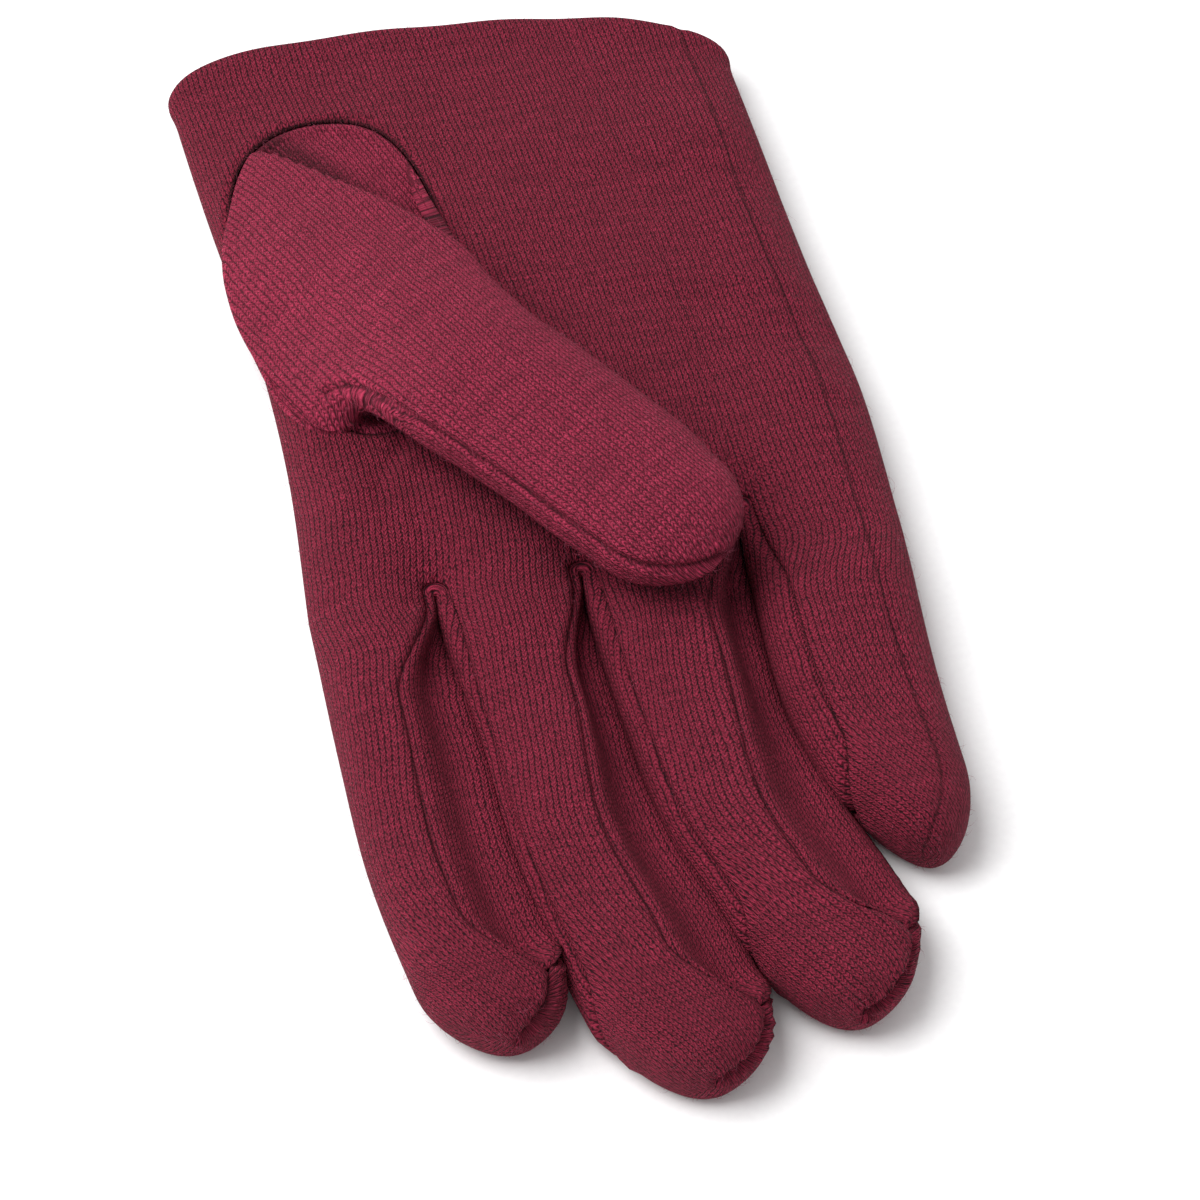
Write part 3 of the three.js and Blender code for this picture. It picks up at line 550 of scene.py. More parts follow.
def seam_relief(distance, run, looks):
    """Height beside a seam: the cloth dips into it, swells over the turned-in edges 1.4 mm away,
    and puckers between the stitches. looks holds one row of SEAM_KINDS for each point."""
    depth, swell, pucker, width, _ = looks.T
    wave = np.sin(2 * math.pi * run / 1.9) + 0.5 * np.sin(2 * math.pi * run / 5.3 + 1)
    return (-depth * np.exp(-(distance / width) ** 2) + swell * np.exp(-((distance - 1.4) / 0.8) ** 2)
            + pucker * wave * np.exp(-((distance - 1.5) / 1.5) ** 2))


def spaced(line, kind):
    """A line as points close together, with the running length and the looks of its kind of seam."""
    run = run_length(line, 0)
    at = np.arange(0, run[-1], LINE_STEP)
    points = np.stack([np.interp(at, run, line[:, k]) for k in range(3)], -1)
    return points, at, np.tile(SEAM_KINDS[kind], (len(at), 1))


# Lines of the seams on the outside of the cloth

def side_seam():
    """The seam that closes the hand: a line over the palm side, 6 mm in from the little-finger edge."""
    y = np.linspace(113.0, -62.0, 420)
    inset = curve_through((-70, -50, 0, 60, 115), (3.2, 4.6, 6.6, 7.0, 6.0), y)
    middle, half = strip(3, y)
    return cloth_point(3, middle + half - inset, y, PALM)


def hole_reach(turned):
    """The hole's size over a plain oval's: two bells round it, at its upper right and at its left."""
    return (1 + 0.09 * np.exp(-((turned - 0.85) / 0.6) ** 2)
            + 0.15 * np.exp(-((turned + 1.0) / 0.6) ** 2))


def hole_point(angle, grow):
    """Point of the thumb hole's rim, grown by some distance: an oval times hole_reach. The angle
    starts at the thumb's right edge."""
    long, wide = 0.5 * THUMB_HOLE["length"] + grow, 0.5 * THUMB_HOLE["width"] + grow
    turn = THUMB_HOLE["turn"]
    long_axis = np.array([-math.sin(turn), math.cos(turn), 0])
    wide_axis = np.array([math.cos(turn), math.sin(turn), 0])
    start = math.atan2(wide * wide_axis @ THUMB_ASIDE, long * long_axis @ THUMB_ASIDE)
    turned = start - np.asarray(angle)[..., None]
    reach = hole_reach(np.arctan2(np.sin(turned), np.cos(turned)))
    return HOLE_MIDDLE + reach * (long_axis * long * np.cos(turned) + wide_axis * wide * np.sin(turned))


def palm_top(x, y):
    """Height of the palm side at places in the plan, whichever finger's strip they belong to."""
    z = cloth_point(3, x, y, PALM)[..., 2]
    for finger in (2, 1, 0):
        z = np.where(x < edge_line(finger + 1, y), cloth_point(finger, x, y, PALM)[..., 2], z)
    return z


THUMB_DIRECTION = np.array([math.cos(THUMB_ANGLE), math.sin(THUMB_ANGLE), 0.0])
THUMB_ASIDE = np.array([-THUMB_DIRECTION[1], THUMB_DIRECTION[0], 0.0])
UP = np.array([0.0, 0.0, 1.0])
HOLE_MIDDLE, THUMB_ORIGIN = (
    np.array([place["across"] * PALM_WIDTH, place["back"] * PALM_LENGTH, 0.0])
    for place in (THUMB_HOLE, THUMB_START))


def hole_rim():
    """The hole's rim as a closed line on the palm side."""
    rim = hole_point(np.linspace(0, 2 * math.pi, 400, endpoint=False), 0.0)
    rim[:, 2] = palm_top(rim[:, 0], rim[:, 1])
    return rim


def build_main_piece():
    """Palm and back with the panels of the four fingers: eight grids sewn into one skin. The skin
    takes the seams' relief, loses the cells inside the thumb hole, whose border then moves on to
    the rim, and thickens and rolls in towards the hem at the cuff."""
    shape = (LAST_ROW + 1, PANEL_COLUMNS + 1)
    grids, ids, count = {}, {}, 0
    for finger in range(4):
        for sheet in (PALM, BACK):
            grids[finger, sheet] = panel_grid(finger, sheet)
            ids[finger, sheet] = count + np.arange(shape[0] * shape[1]).reshape(shape)
            count += shape[0] * shape[1]
    points = np.concatenate([grids[key][0].reshape(-1, 3) for key in grids])
    place = np.concatenate([HAND_PLACES, np.ones(LAST_ROW - HAND_ROWS)]) * (PALM_LENGTH - 4)
    from_cuff = np.tile(np.repeat(place, shape[1]), 8)
    hand = slice(0, HAND_ROWS + 1)
    for finger in range(4):
        for column, side in PANEL_EDGES:
            join = 0 if is_outer(finger, side) else join_row(finger, side)
            ids[finger, BACK][join:, column] = ids[finger, PALM][join:, column]
        for sheet in (PALM, BACK):
            if finger > 0:
                ids[finger, sheet][hand, PANEL_COLUMNS] = ids[finger - 1, sheet][hand, 0]
            ids[finger, sheet][LAST_ROW, :] = ids[finger, PALM][LAST_ROW, 0]
    quads, uvs = [], []
    for (finger, sheet), (_, uv) in grids.items():
        cells = grid_quads(ids[finger, sheet])
        corner = uv.reshape(-1, 2)[grid_quads(np.arange(shape[0] * shape[1]).reshape(shape))]
        if sheet == BACK:
            cells, corner = cells[:, ::-1], corner[:, ::-1]
        quads.append(cells)
        uvs.append(corner)
    quads, uvs = np.concatenate(quads), np.concatenate(uvs)

    seams, runs, looks = seam_lines(grids, ids, points)
    normals = vertex_normals(points, quads)
    distance, nearest = nearest_on(points, seams)
    run, looks = runs[nearest], looks[nearest]
    inside_side_seam = (looks[:, 3] == SEAM_KINDS["side"][3]) & (points[:, 0] < seams[nearest, 0])
    points = points + normals * (seam_relief(distance, run, looks) - SKIN_INSET)[:, None]

    offset = points - HOLE_MIDDLE
    turn = THUMB_HOLE["turn"]
    along = -offset[:, 0] * math.sin(turn) + offset[:, 1] * math.cos(turn)
    aside = offset[:, 0] * math.cos(turn) + offset[:, 1] * math.sin(turn)
    along = along / (THUMB_HOLE["length"] / 2 - SEAM_GAP)
    aside = aside / (THUMB_HOLE["width"] / 2 - SEAM_GAP)
    radius = np.hypot(along, aside) / hole_reach(np.arctan2(aside, along))
    palm_side = points[:, 2] > half_height(points[:, 1])
    gone = (radius[quads].mean(axis=1) < 1) & palm_side[quads].all(axis=1)
    border = np.zeros(len(points), bool)
    border[np.unique(quads[gone])] = True
    kept = np.zeros(len(points), bool)
    kept[np.unique(quads[~gone])] = True
    border &= kept
    scale = 1 / np.maximum(radius[border], 1e-3)
    points[border, :2] = HOLE_MIDDLE[:2] + offset[border, :2] * scale[:, None]
    rim_top = palm_top(points[border, 0], points[border, 1])
    points[border, 2] = rim_top - SKIN_INSET - SEAM_KINDS["rim"][0]
    distance[border] = 0.0
    quads, uvs = quads[~gone], uvs[~gone]

    used, quads = np.unique(quads, return_inverse=True)
    quads = quads.reshape(-1, 4)
    distance = np.where(inside_side_seam, -distance, distance)
    points, distance, run, from_cuff = points[used], distance[used], run[used], from_cuff[used]
    # How dark the painted shade along the nearest seam is
    dark = looks[used, 4]
    normals = vertex_normals(points, quads)
    wall = lerp(WALL, HEM_WALL, smooth(1.25 - from_cuff / HEM_WIDTH))
    into_round = np.maximum(HEM_ROUND - from_cuff, 0)
    curl = HEM_ROUND - np.sqrt(np.maximum(HEM_ROUND ** 2 - into_round ** 2, 0))
    swell = 0.45 * np.exp(-((from_cuff - 2.2) / 2.4) ** 2)
    points = points + normals * (swell - curl)[:, None]
    wall = np.maximum(wall + swell - 2 * curl, 0.08)
    points, faces, uvs = closed_wall(points, normals, quads, uvs, wall)
    piece = put_mesh("main_piece_knit", points, faces, uvs, seam_values(distance, run, dark))
    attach(piece, "root")
    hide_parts("palm_and_back")
    return piece


def seam_lines(grids, ids, points):
    """All seams of the main piece as points close together, with their running length and looks."""
    parts = [spaced(side_seam(), "side"), spaced(hole_rim(), "rim")]
    for finger, sheet in grids:
        for column, side in PANEL_EDGES:
            if is_outer(finger, side):
                continue
            join = join_row(finger, side)
            line = points[ids[finger, sheet][:, column]]
            parts.append(spaced(line[HAND_ROWS:WEB_ROW + 5], "crotch"))
            parts.append(spaced(line[WEB_ROW + 5:join + 1], "strip"))
            if side == RIGHT:
                parts.append(spaced(line[join - 4:], "tip"))
    return [np.concatenate(kind) for kind in zip(*parts)]


def build_side_strip(parting):
    """Forked strip between two fingers: up one finger, round the crotch, up the next. Each line
    across runs from the palm-side seam to the back seam. On the first finger the cloth sinks in
    between the seam and the finger's side (place / end from 0 to 1), as a sine arch, and swells
    below it. On the next finger only the lower flank swells."""
    share = np.linspace(0, 1, STRIP_COLUMNS + 1)[None, :]
    legs, ends = [], []
    for finger, side in ((parting, RIGHT), (parting + 1, LEFT)):
        y = row_level(finger, side)
        rows = np.arange(WEB_ROW, join_row(finger, side))
        palm = seam_angle(finger, side, PALM)[rows, None]
        back = seam_angle(finger, side, BACK)[rows, None]
        level = np.broadcast_to(y[rows, None], (len(rows), STRIP_COLUMNS + 1))
        leg = ring_point(finger, level, lerp(palm, back, share), PALM)
        side_on = (palm[:, 0] - STRIP_SIDE_ON) / (palm[:, 0] - back[:, 0])
        side_on = np.clip(side_on, 0.3, 0.92)
        ends.append(np.concatenate([np.full(WEB_ROWS, side_on[0]), side_on]))
        row = np.arange(HAND_ROWS, WEB_ROW)[:, None]
        crotch = crotch_level(finger, side)
        edge = edge_line(edge_of(finger, side), crotch)
        seam_x, seam_y = web_seam(finger, side, row)
        mouth_x = edge - side * 0.5 * FINGER_GAP * np.cos(web_turn(row))
        mouth_y = crotch + 0.5 * FINGER_GAP * np.sin(web_turn(row))
        signed = 1 - 2 * share
        inward = signed * signed
        x, wy = lerp(mouth_x, seam_x, inward), lerp(mouth_y, seam_y, inward)
        sheet = np.broadcast_to(np.where(signed >= 0, PALM, BACK), x.shape)
        web = cloth_point(finger, x, wy, sheet)
        legs.append(np.concatenate([web, leg]))
    points = np.concatenate([legs[0][:0:-1], legs[1]])
    rows, columns = points.shape[:2]
    end = np.repeat(np.concatenate([ends[0][:0:-1], ends[1]]), columns)
    across = run_length(points, 1)
    along = run_length(points, 0)[:, STRIP_COLUMNS // 2][:, None]
    from_seam = np.minimum(across, across[:, -1:] - across)
    uv = np.stack([across - 0.5 * across[:, -1:], np.broadcast_to(along, across.shape)], axis=-1)
    quads = grid_quads(np.arange(rows * columns).reshape(rows, columns))
    corner_uv = uv.reshape(-1, 2)[quads]
    flat = points.reshape(-1, 3)
    normals = vertex_normals(flat, quads)
    run = np.broadcast_to(along, across.shape).ravel()
    from_seam = from_seam.ravel()
    width = np.broadcast_to(across[:, -1:], across.shape).ravel()
    place = np.clip(across.ravel() / np.maximum(width, 0.1), 0, 1)
    from_crotch = np.abs(run - run[len(legs[0]) * columns])
    first = np.repeat(np.arange(rows), columns) < len(legs[0])
    right_leg, left_leg = first * smooth(from_crotch / 13), ~first * smooth(from_crotch / 3)
    arch = np.sin(math.pi * np.clip(place / end, 0, 1)) ** 1.3
    flank = np.sqrt(np.sin(math.pi * np.clip((place - end) / (1 - end), 0, 1)))
    between = smooth(place / 0.3) * smooth((1 - place) / 0.3)
    sink = right_leg * np.minimum(STRIP_SINK_SHARE * width, STRIP_SINK) * arch
    sink = sink - RIGHT_FLANK * right_leg * smooth(width / 6) * flank
    sink = sink - LEFT_FLANK * left_leg * smooth((width - 4) / 7) * between
    looks = np.tile(SEAM_KINDS["strip"], (len(flat), 1))
    lift = seam_relief(from_seam, run, looks) - SKIN_INSET - sink + 0.46 * smooth(from_seam / 3)
    hidden = lerp(-0.5, -1.6, smooth((from_crotch - 20) / 20))
    flat = flat + normals * lerp(hidden, lift, smooth((width - 2.0) / 2.0))[:, None]
    points, faces, corner_uv = closed_wall(flat, normals, quads, corner_uv, np.full(len(flat), WALL))
    name = f"{FINGERS[parting]}_{FINGERS[parting + 1]}"
    piece = put_mesh(f"side_strip_{name}", points, faces, corner_uv,
                     seam_values(from_seam, run, looks[:, 4]))
    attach(piece, "root")
    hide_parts(f"fourchette_{name}")
    return piece


# Thumb: sections of its free tube, as shares of its length, width and height
TUBE_ALONG = (0.00, 0.22, 0.44, 0.62, 0.76)
TUBE_ASIDE = (0.00, 0.01, 0.01, 0.00, -0.02)
TUBE_WIDTH = (1.04, 1.02, 1.00, 0.98, 0.93)
TUBE_HEIGHT = (1.00, 1.00, 0.98, 0.96, 0.94)
# The fold where the thumb's upper side lies over the gusset, in the plan
THUMB_FOLD = np.array([(-39.0, 92.0), (-33.0, 84.6), (-26.8, 76.0), (-19.0, 66.6),
                       (-12.8, 58.6), (-6.0, 50.6), (0.0, 43.0)])
BASE_ROWS, TUBE_ROWS, THUMB_TIP_ROWS, THUMB_COLUMNS = 72, 52, 20, 144


def tube_point(along, angle, shrink):
    """Point of the thumb's tube: an ellipse, slightly flattened, round the thumb's middle line."""
    width = curve_through(TUBE_ALONG, TUBE_WIDTH, along)
    height = curve_through(TUBE_ALONG, TUBE_HEIGHT, along)
    aside = (curve_through(TUBE_ALONG, TUBE_ASIDE, along) * THUMB_WIDTH
             + 0.5 * width * THUMB_WIDTH * shrink * np.cos(angle))
    lift = np.sin(angle)
    full = np.sign(lift) * np.abs(lift) ** 0.85
    z = (max(PALM_HEIGHT, FINGER_HEIGHT) + THUMB_CLEARANCE + 0.5 * height * THUMB_HEIGHT
         + 0.5 * height * THUMB_HEIGHT * shrink * full)
    return (THUMB_ORIGIN + (along * THUMB_LENGTH)[..., None] * THUMB_DIRECTION
            + aside[..., None] * THUMB_ASIDE + z[..., None] * UP)


def base_point(t, angle):
    """Base of the thumb: for each angle a cubic from the hole's rim to the start of the tube."""
    rim = hole_point(angle, -SEAM_GAP)
    rim[..., 2] = palm_top(rim[..., 0], rim[..., 1]) - 0.5
    tube = tube_point(np.zeros_like(angle), angle, 1.0)
    leave = (HOLE_MIDDLE - rim) * np.array([1, 1, 0])
    leave = leave / np.linalg.norm(leave, axis=-1, keepdims=True) * THUMB_LEAN
    leave[..., 2] = THUMB_RISE * (0.55 + 0.45 * np.sin(angle))
    t, rest = t[..., None], 1 - t[..., None]
    return (rim * rest ** 2 * (1 + 2 * t) + leave * t * rest ** 2
            + tube * t ** 2 * (3 - 2 * t) - THUMB_DIRECTION * THUMB_REACH * t ** 2 * rest)


def beyond_fold(x, y):
    """Signed distance in the plan from the thumb's fold line, positive on the gusset's side."""
    best = np.full(x.shape, 1e9)
    signed = np.zeros(x.shape)
    for (ax, ay), (bx, by) in zip(THUMB_FOLD[:-1], THUMB_FOLD[1:]):
        dx, dy = bx - ax, by - ay
        t = np.clip(((x - ax) * dx + (y - ay) * dy) / (dx * dx + dy * dy), 0, 1)
        gap = np.hypot(x - ax - t * dx, y - ay - t * dy)
        side = np.sign(dx * (y - ay) - dy * (x - ax))
        signed = np.where(gap < best, side * gap, signed)
        best = np.minimum(best, gap)
    return signed


def fold_thumb_base(points, angle, t):
    """The base's own shape: it hangs over the hole's left rim, tucks in under the tube at the
    lower rim, swells along the lower seam, and beyond the fold line drops steeply to the gusset."""
    outward = points - HOLE_MIDDLE
    outward = outward * np.array([1, 1, 0])
    outward = outward / np.maximum(np.linalg.norm(outward, axis=-1, keepdims=True), 1e-6)
    turn = np.degrees(angle) + 0 * t
    near = t / 0.16 * np.exp(1 - t / 0.16) * (1 - t) ** 2
    left = smooth((turn - 80) / 40) * smooth((206 - turn) / 30)
    lobe = smooth((turn - 140) / 25) * smooth((206 - turn) / 22)
    pocket = smooth((turn - 196) / 14) * smooth((250 - turn) / 24)
    tuck = np.exp(-((t - 0.16) / 0.13) ** 2) * smooth(t / 0.05)
    points = points + outward * (near * (5.0 * left + 3.0 * lobe) - 3.2 * pocket * tuck)[..., None]
    drop = near * (0.4 * left + 1.6 * lobe) + 1.8 * pocket * tuck
    points = points - drop[..., None] * UP

    x, y, z = points[..., 0], points[..., 1], points[..., 2]
    beyond = beyond_fold(x, y)
    floor = palm_top(x, y)
    reach = smooth((y - 44) / 12) * (np.sin(angle) > -0.35)
    from_rim = run_length(points, 0)
    gusset = (floor - 0.7 - 0.7 * smooth(from_rim / 4) + 0.2 * limpness(x, y, 31)
              - 1.6 * np.exp(-((beyond - 0.9) / 1.2) ** 2) * smooth(from_rim / 3))
    z = z + 0.9 * np.exp(-((beyond + 1.3) / 2.4) ** 2) * reach * smooth(from_rim / 5)
    sunk = smooth((beyond + 0.1) / 0.9) * reach
    z = lerp(z, np.minimum(z, gusset), sunk)
    return np.stack([x, y, z], axis=-1), sunk


def build_thumb():
    """Thumb piece: base, tube and round tip as one grid of rings, with the fold over the gusset. Its
    knit coordinates: v is the way ahead along the thumb; u is the way aside on the base, and passes
    to the way round on the tube. On the gusset beyond the fold the cloth is darkened with painted
    shade, through the values that darken the seams' lines."""
    angle = np.linspace(0, 2 * math.pi, THUMB_COLUMNS + 1)[None, :]
    t = (np.arange(BASE_ROWS) / BASE_ROWS)[:, None]
    base = base_point(*np.broadcast_arrays(t, angle))
    along = (TUBE_ALONG[-1] * np.arange(TUBE_ROWS) / TUBE_ROWS)[:, None]
    tube = tube_point(*np.broadcast_arrays(along, angle), 1.0)
    turn = (0.5 * math.pi * np.arange(THUMB_TIP_ROWS + 1) / THUMB_TIP_ROWS)[:, None]
    end = np.full((THUMB_TIP_ROWS + 1, THUMB_COLUMNS + 1), TUBE_ALONG[-1])
    tip = tube_point(end, np.broadcast_to(angle, end.shape), np.cos(turn))
    tip = tip + ((1 - TUBE_ALONG[-1]) * np.sin(turn) * THUMB_LENGTH)[..., None] * THUMB_DIRECTION
    points = np.concatenate([base, tube, tip])
    rows = len(points)

    points, sunk = fold_thumb_base(points, angle, np.concatenate([t, np.ones((rows - BASE_ROWS, 1))]))

    aside = (points - THUMB_ORIGIN) @ THUMB_ASIDE
    ahead = (points - THUMB_ORIGIN) @ THUMB_DIRECTION
    around = run_length(points, 1)
    crown = THUMB_COLUMNS // 4
    arc = around[:, crown:crown + 1] - around
    blend = smooth((np.arange(rows)[:, None] - 0.6 * BASE_ROWS) / (0.5 * BASE_ROWS))
    half_turn = 3 * THUMB_COLUMNS // 4
    arc = np.where(np.arange(THUMB_COLUMNS + 1)[None, :] > half_turn, arc + around[:, -1:], arc)
    lean = 0.29 * -8 * np.logaddexp(0, -ahead / 8)
    uv = np.stack([lerp(aside + FOLD_CLOTH * sunk, arc, blend) + lean, ahead], axis=-1)

    shape = (rows, THUMB_COLUMNS + 1)
    ids = np.arange(shape[0] * shape[1]).reshape(shape)
    corner = uv.reshape(-1, 2)[grid_quads(ids)]
    ids[:, -1] = ids[:, 0]
    ids[-1, :] = ids[-1, 0]
    quads = grid_quads(ids)
    far = np.abs(corner[:, 0, 0] - corner[:, 1, 0]) > 12
    corner[far, 1:3] = corner[far, 0:1]
    flat = points.reshape(-1, 3)
    normals = vertex_normals(flat, quads)
    normals.reshape(rows, -1, 3)[:, -1] = normals.reshape(rows, -1, 3)[:, 0]

    column = round(THUMB_SEAM_TURN / 360 * THUMB_COLUMNS)
    seams = [spaced(points[BASE_ROWS // 3:, column], "thumb"), spaced(points[0], "rim")]
    lines, runs, looks = (np.concatenate(part) for part in zip(*seams))
    distance, nearest = nearest_on(flat, lines)
    run, looks = runs[nearest], looks[nearest]
    row = np.repeat(np.arange(rows), THUMB_COLUMNS + 1)
    lip_turn = np.degrees(np.tile(angle.ravel(), rows)) - THUMB_SEAM_TURN - 30
    lip = np.exp(-(lip_turn / 18) ** 2) * smooth((row - 20) / 30)
    slack = 0.35 * limpness(flat[:, 0], flat[:, 1], 23) * smooth(distance / 4)
    flat = flat + normals * (seam_relief(distance, run, looks) + slack + 0.9 * lip)[:, None]
    beyond = beyond_fold(flat[:, 0], flat[:, 1])
    # Painted shade on the gusset beyond the fold: its points count as near a seam line of dark 0.9,
    # full near the fold and fading between 4 and about 9 mm beyond it.
    on_gusset = (row < BASE_ROWS) & (flat[:, 1] > 47) & (beyond > 0)
    painted_fold_shade_distance = np.where(on_gusset, 0.14 + 0.065 * np.maximum(beyond - 4.0, 0), 9.0)
    looks[:, 4] = np.where(painted_fold_shade_distance < distance, 0.9, looks[:, 4])
    distance = np.minimum(distance, painted_fold_shade_distance)
    used, quads = np.unique(quads, return_inverse=True)
    quads = quads.reshape(-1, 4)
    flat, normals = flat[used], normals[used]
    distance, run, dark = distance[used], run[used], looks[used, 4]
    points, faces, corner = closed_wall(flat, normals, quads, corner, np.full(len(flat), WALL))
    piece = put_mesh("thumb_knit", points, faces, corner, seam_values(distance, run, dark))
    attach(piece, "root")
    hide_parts("thumb")
    return piece


def build_fuzz(pieces):
    """Stray wool fibres: thin three-sided hairs that leave the cloth at a slant and curl over."""
    rng = np.random.default_rng(41)
    roots, rises = [], []
    for piece, share in pieces:
        mesh = piece.data
        count = len(mesh.vertices)
        co, no = np.empty(count * 3), np.empty(count * 3)
        mesh.vertices.foreach_get("co", co)
        mesh.vertices.foreach_get("normal", no)
        pick = rng.choice(count // 2, share)        # the outer sheet comes first
        roots.append(co.reshape(-1, 3)[pick] / MM + CENTRE)
        rises.append(no.reshape(-1, 3)[pick])
    roots, rises = np.concatenate(roots), np.concatenate(rises)
    count = len(roots)
    lean = rng.normal(size=(count, 3))
    lean -= rises * (lean * rises).sum(1, keepdims=True)
    lean /= np.linalg.norm(lean, axis=1, keepdims=True)
    curl = np.cross(rises, lean) * rng.uniform(-1, 1, (count, 1))
    length = rng.gamma(2.2, 0.34, (count, 1)) + 0.25
    rings, steps = [], (0.0, 0.4, 0.75, 1.0)
    for s in steps:
        middle = roots + length * (rises * (0.75 * s - 0.35 * s * s)
                                   + lean * (0.35 * s + 0.5 * s * s) + curl * 0.5 * s * s)
        thick = 0.022 * (1 - 0.85 * s)
        for k in range(3):
            a = 2 * math.pi * k / 3
            rings.append(middle + thick * (math.cos(a) * np.cross(rises, lean)
                                           + math.sin(a) * (rises - lean) * 0.7))
    points = np.stack(rings, axis=1).reshape(-1, 3)
    points[:, 2] = np.maximum(points[:, 2], 0.03)
    base = (np.arange(count) * 3 * len(steps))[:, None]
    cells = []
    for ring in range(len(steps) - 1):
        for k in range(3):
            n = (k + 1) % 3
            cells.append([3 * ring + k, 3 * ring + n, 3 * ring + 3 + n, 3 * ring + 3 + k])
    last = 3 * (len(steps) - 1)
    cells += [[last, last + 1, last + 2, last + 2], [0, 2, 1, 1]]
    faces = (base[:, None] + np.array(cells)[None]).reshape(-1, 4)
    piece = put_mesh("wool_fuzz", points, faces)
    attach(piece, "root")
    return piece


# Materials

WOOL_GAP = "#1b040c"
COURSE = 0.76                 # mm between two rows of loops


def linear(hex_colour):
    """sRGB hex value to linear red, green, blue and alpha."""
    values = [int(hex_colour[i:i + 2], 16) / 255 for i in (1, 3, 5)]
    return tuple(v / 12.92 if v <= 0.04045 else ((v + 0.055) / 1.055) ** 2.4 for v in values) + (1.0,)


def add(tree, kind, links=None, **settings):
    """Adds one node. settings are its properties, links its inputs: a value or another's output."""
    node = tree.nodes.new(kind)
    for key, value in settings.items():
        setattr(node, key, value)
    for socket, source in (links or {}).items():
        if isinstance(source, bpy.types.NodeSocket):
            tree.links.new(source, node.inputs[socket])
        else:
            node.inputs[socket].default_value = source
    return node


def maths(tree, operation, *values):
    return add(tree, "ShaderNodeMath", dict(enumerate(values)), operation=operation).outputs[0]


def vector_maths(tree, operation, links):
    return add(tree, "ShaderNodeVectorMath", links, operation=operation).outputs[0]


def remap(tree, value, low, high, to_low, to_high, kind="SMOOTHSTEP"):
    """The value's way from low to high, as a way from to_low to to_high."""
    links = {"Value": value, "From Min": low, "From Max": high, "To Min": to_low, "To Max": to_high}
    return add(tree, "ShaderNodeMapRange", links, interpolation_type=kind).outputs[0]


def noise(tree, place, scale, detail, roughness=0.5):
    """Noise in two dimensions, scale to the mm: its value is output 0, its colour "Color"."""
    links = {"Vector": place, "Scale": scale, "Detail": detail, "Roughness": roughness}
    return add(tree, "ShaderNodeTexNoise", links, noise_dimensions="2D").outputs


def jitter(tree, place, vector, scale, detail, reach):
    """The vector moved by noise, by up to half the reach each way."""
    centred = vector_maths(tree, "SUBTRACT",
                           {0: noise(tree, place, scale, detail)["Color"], 1: (0.5, 0.5, 0.5)})
    move = vector_maths(tree, "SCALE", {0: centred, "Scale": reach})
    return vector_maths(tree, "ADD", {0: vector, 1: move})


def mix_colours(tree, factor, first, second, kind="MIX"):
    links = {0: factor, 6: first, 7: second}
    return add(tree, "ShaderNodeMix", links, data_type="RGBA", blend_type=kind).outputs[2]


def new_material(name):
    """An empty material and its node tree."""
    material = bpy.data.materials.new(name)
    material.use_nodes = True
    material.node_tree.nodes.clear()
    return material, material.node_tree


def surface(tree, inputs):
    """Makes a principled surface with these inputs the material's output."""
    shader = add(tree, "ShaderNodeBsdfPrincipled", inputs)
    add(tree, "ShaderNodeOutputMaterial", {"Surface": shader.outputs[0]})


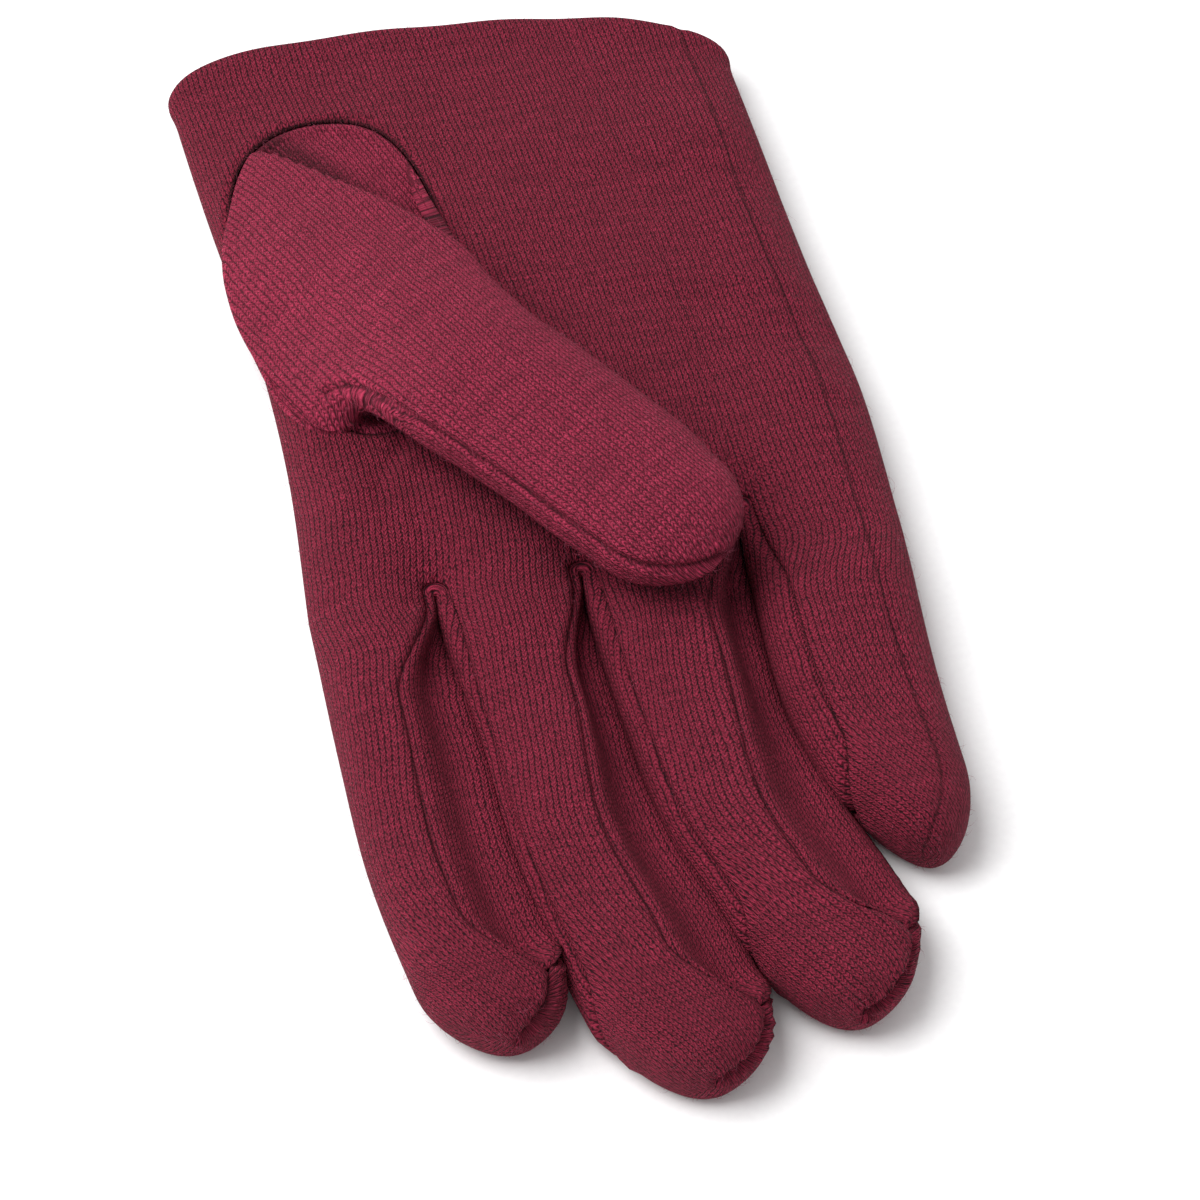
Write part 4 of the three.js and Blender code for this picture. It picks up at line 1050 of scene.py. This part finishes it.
def merino_jersey(name, wale, deep, light, hollow):
    """Fine merino jersey, knitted on a flat machine: ribs of V-shaped loops with dark holes between
    them, a slightly uneven dye, and a soft sheen of loose fibres on the edges. wale is the distance
    between ribs in mm, hollow how dark the holes are.

    The knit's height is a leg times a strand: the leg is full from 0.3 to 0.5 of the way from a
    rib's middle to its edge and falls to 0.1 there, the strand is a wave along the rib that slants
    by 0.8 of a course to each side. Fibre noise roughens both."""
    material, tree = new_material(name)
    place = add(tree, "ShaderNodeUVMap", uv_map="knit").outputs[0]
    # Ribs wander over centimetres, and loops from one to the next
    warped = jitter(tree, place, place, 0.09, 1.0, 0.9)
    warped = jitter(tree, place, warped, 0.8, 2.0, 0.42)
    split = add(tree, "ShaderNodeSeparateXYZ", {0: warped}).outputs
    wales = maths(tree, "MULTIPLY", split[0], 1 / wale)
    courses = maths(tree, "MULTIPLY", split[1], 1 / COURSE)
    across = maths(tree, "MULTIPLY", maths(tree, "PINGPONG", wales, 0.5), 2.0)
    slant = maths(tree, "MULTIPLY_ADD", across, -0.8, courses)
    loop = remap(tree, maths(tree, "PINGPONG", slant, 0.5), 0.02, 0.42, 0.0, 1.0)
    edge = remap(tree, across, 0.5, 1.0, 1.0, 0.10)
    heart = remap(tree, across, 0.0, 0.3, 0.62, 1.0)
    leg = maths(tree, "MULTIPLY", edge, heart)
    strand = maths(tree, "MULTIPLY_ADD", loop, 0.72, 0.28)
    height = maths(tree, "MULTIPLY", leg, strand)
    fibre = noise(tree, place, 1.9, 5.0, 0.75)[0]
    rough = maths(tree, "MULTIPLY_ADD", fibre, 0.5, height)

    # Seam lines: painted shade of the seam's groove, dark on the seam, gone 0.45 mm beside it, and
    # paler once each 1.2 mm for a stitch
    seam, seam_run, seam_painted_shade = (add(tree, "ShaderNodeAttribute", attribute_name=key).outputs["Fac"]
                                 for key in ("seam", "seam_run", "seam_painted_shade"))
    line = remap(tree, maths(tree, "ABSOLUTE", seam), 0.12, 0.45, 1.0, 0.0)
    stitch = remap(tree, maths(tree, "PINGPONG", seam_run, 0.6), 0.05, 0.35, 0.55, 1.0, "LINEAR")
    line = maths(tree, "MULTIPLY", maths(tree, "MULTIPLY", line, stitch), seam_painted_shade)
    shade = remap(tree, line, 0.0, 1.0, 1.0, 0.16, "LINEAR")

    # Colour: dye between deep and light, in faint bands, with flecks, dark in the holes
    gap = remap(tree, maths(tree, "MULTIPLY_ADD", fibre, 0.9, height), 0.46, 1.02, 1 - hollow, 1.0)
    dye = noise(tree, place, 0.55, 6.0, 0.72)[0]
    drawn = add(tree, "ShaderNodeMapping", {"Vector": place, "Scale": (0.09, 0.95, 1.0)}).outputs[0]
    bands = remap(tree, noise(tree, drawn, 1.0, 2.0)[0], 0.3, 0.7, 0.86, 1.12, "LINEAR")
    flecks = remap(tree, fibre, 0.3, 0.7, 0.6, 1.5, "LINEAR")
    tone = mix_colours(tree, dye, linear(deep), linear(light))
    tone = mix_colours(tree, 1.0, tone, bands, "MULTIPLY")
    tone = mix_colours(tree, 1.0, tone, flecks, "MULTIPLY")
    tone = mix_colours(tree, gap, linear(WOOL_GAP), tone)
    tone = mix_colours(tree, 1.0, tone, shade, "MULTIPLY")
    bump = add(tree, "ShaderNodeBump", {"Height": rough, "Strength": 1.0, "Distance": 0.0006})
    surface(tree, {
        "Base Color": tone, "Roughness": 0.93, "Specular IOR Level": 0.2, "Normal": bump.outputs[0],
        "Sheen Weight": 0.12, "Sheen Roughness": 0.4, "Sheen Tint": linear("#d4506a")})
    return material


def speckled(name, scale, detail, first, second, roughness, specular):
    """Plain surface whose colour is noise between two: the scale is to the metre."""
    material, tree = new_material(name)
    place = add(tree, "ShaderNodeTexCoord").outputs["Object"]
    links = {"Vector": place, "Scale": scale, "Detail": detail}
    speckle = add(tree, "ShaderNodeTexNoise", links).outputs[0]
    tone = mix_colours(tree, speckle, linear(first), linear(second))
    surface(tree, {"Base Color": tone, "Roughness": roughness, "Specular IOR Level": specular})
    return material


def loose_fibre():
    """Loose wool fibres: the yarn's own colour, lighter because each fibre catches the light."""
    return speckled("merino_wool_loose_fibre", 260.0, 1.0, "#8c3046", "#b8607a", 0.8, 0.3)


def studio_paper():
    """Matt white background paper: even, with a faint tooth that only softens its shade."""
    return speckled("matt_white_paper", 900.0, 2.0, "#f4f3f4", "#fbfbfb", 0.95, 0.1)


# The camera first, then the pieces

def place_camera():
    """View of the photograph: 50 degrees above the floor, the glove turned 11 degrees in it."""
    data = bpy.data.cameras.new("camera")
    data.sensor_width = 36.0
    data.lens = 165.6
    data.clip_start, data.clip_end = 0.01, 20.0
    camera = bpy.data.objects.new("camera", data)
    camera.location = (-0.0968, -0.5162, 0.6128)
    aim = Vector((0.00131, -0.01147, 0.0)) - camera.location
    camera.rotation_euler = aim.to_track_quat("-Z", "Y").to_euler()
    bpy.context.scene.collection.objects.link(camera)
    bpy.context.scene.camera = camera


def place_light(name, size, power, place, aim=(0, 0, 0)):
    data = bpy.data.lights.new(name, "AREA")
    data.shape = "RECTANGLE"
    data.size, data.size_y = size
    data.energy = power
    lamp = bpy.data.objects.new(name, data)
    lamp.location = place
    lamp.rotation_euler = (Vector(aim) - lamp.location).to_track_quat("-Z", "Y").to_euler()
    bpy.context.scene.collection.objects.link(lamp)


def build_stage():
    """Floor sheet under the glove, wide enough for every view."""
    reach = 3000.0
    corners = np.array([(-reach, -reach), (reach, -reach), (reach, reach), (-reach, reach)])
    points = np.column_stack([corners, np.zeros(4)]) + CENTRE
    floor = put_mesh("floor", points, np.array([[0, 1, 2, 3]]))
    floor.data.materials.append(studio_paper())
    world = bpy.data.worlds.new("studio")
    bpy.context.scene.world = world
    world.use_nodes = True
    world.node_tree.nodes["Background"].inputs["Color"].default_value = (1.0, 1.0, 1.0, 1.0)
    world.node_tree.nodes["Background"].inputs["Strength"].default_value = 0.62
    place_light("main_softbox", (1.1, 1.1), 21.0, (-0.66, 0.10, 1.10))


place_camera()
build_stage()
cloth = merino_jersey("merino_wool_jersey", 0.90, "#731a2e", "#a22e49", 1.0)
# The thumb's copy has a finer knit, and a lighter colour with paler holes that are painted light: the
# thumb's higher top is lit more brightly.
thumb_cloth = merino_jersey("merino_wool_jersey_finer_and_painted_lighter_on_the_thumb", 0.83, "#832039", "#b73857", 0.85)
main_piece = build_main_piece()
strips = [build_side_strip(parting) for parting in range(3)]
thumb = build_thumb()
for piece in [main_piece, *strips]:
    piece.data.materials.append(cloth)
thumb.data.materials.append(thumb_cloth)
fuzz = build_fuzz([(main_piece, 5600), (thumb, 2200)])
fuzz.data.materials.append(loose_fibre())

bpy.context.scene.view_settings.view_transform = "Standard"

bpy.context.view_layer.update()
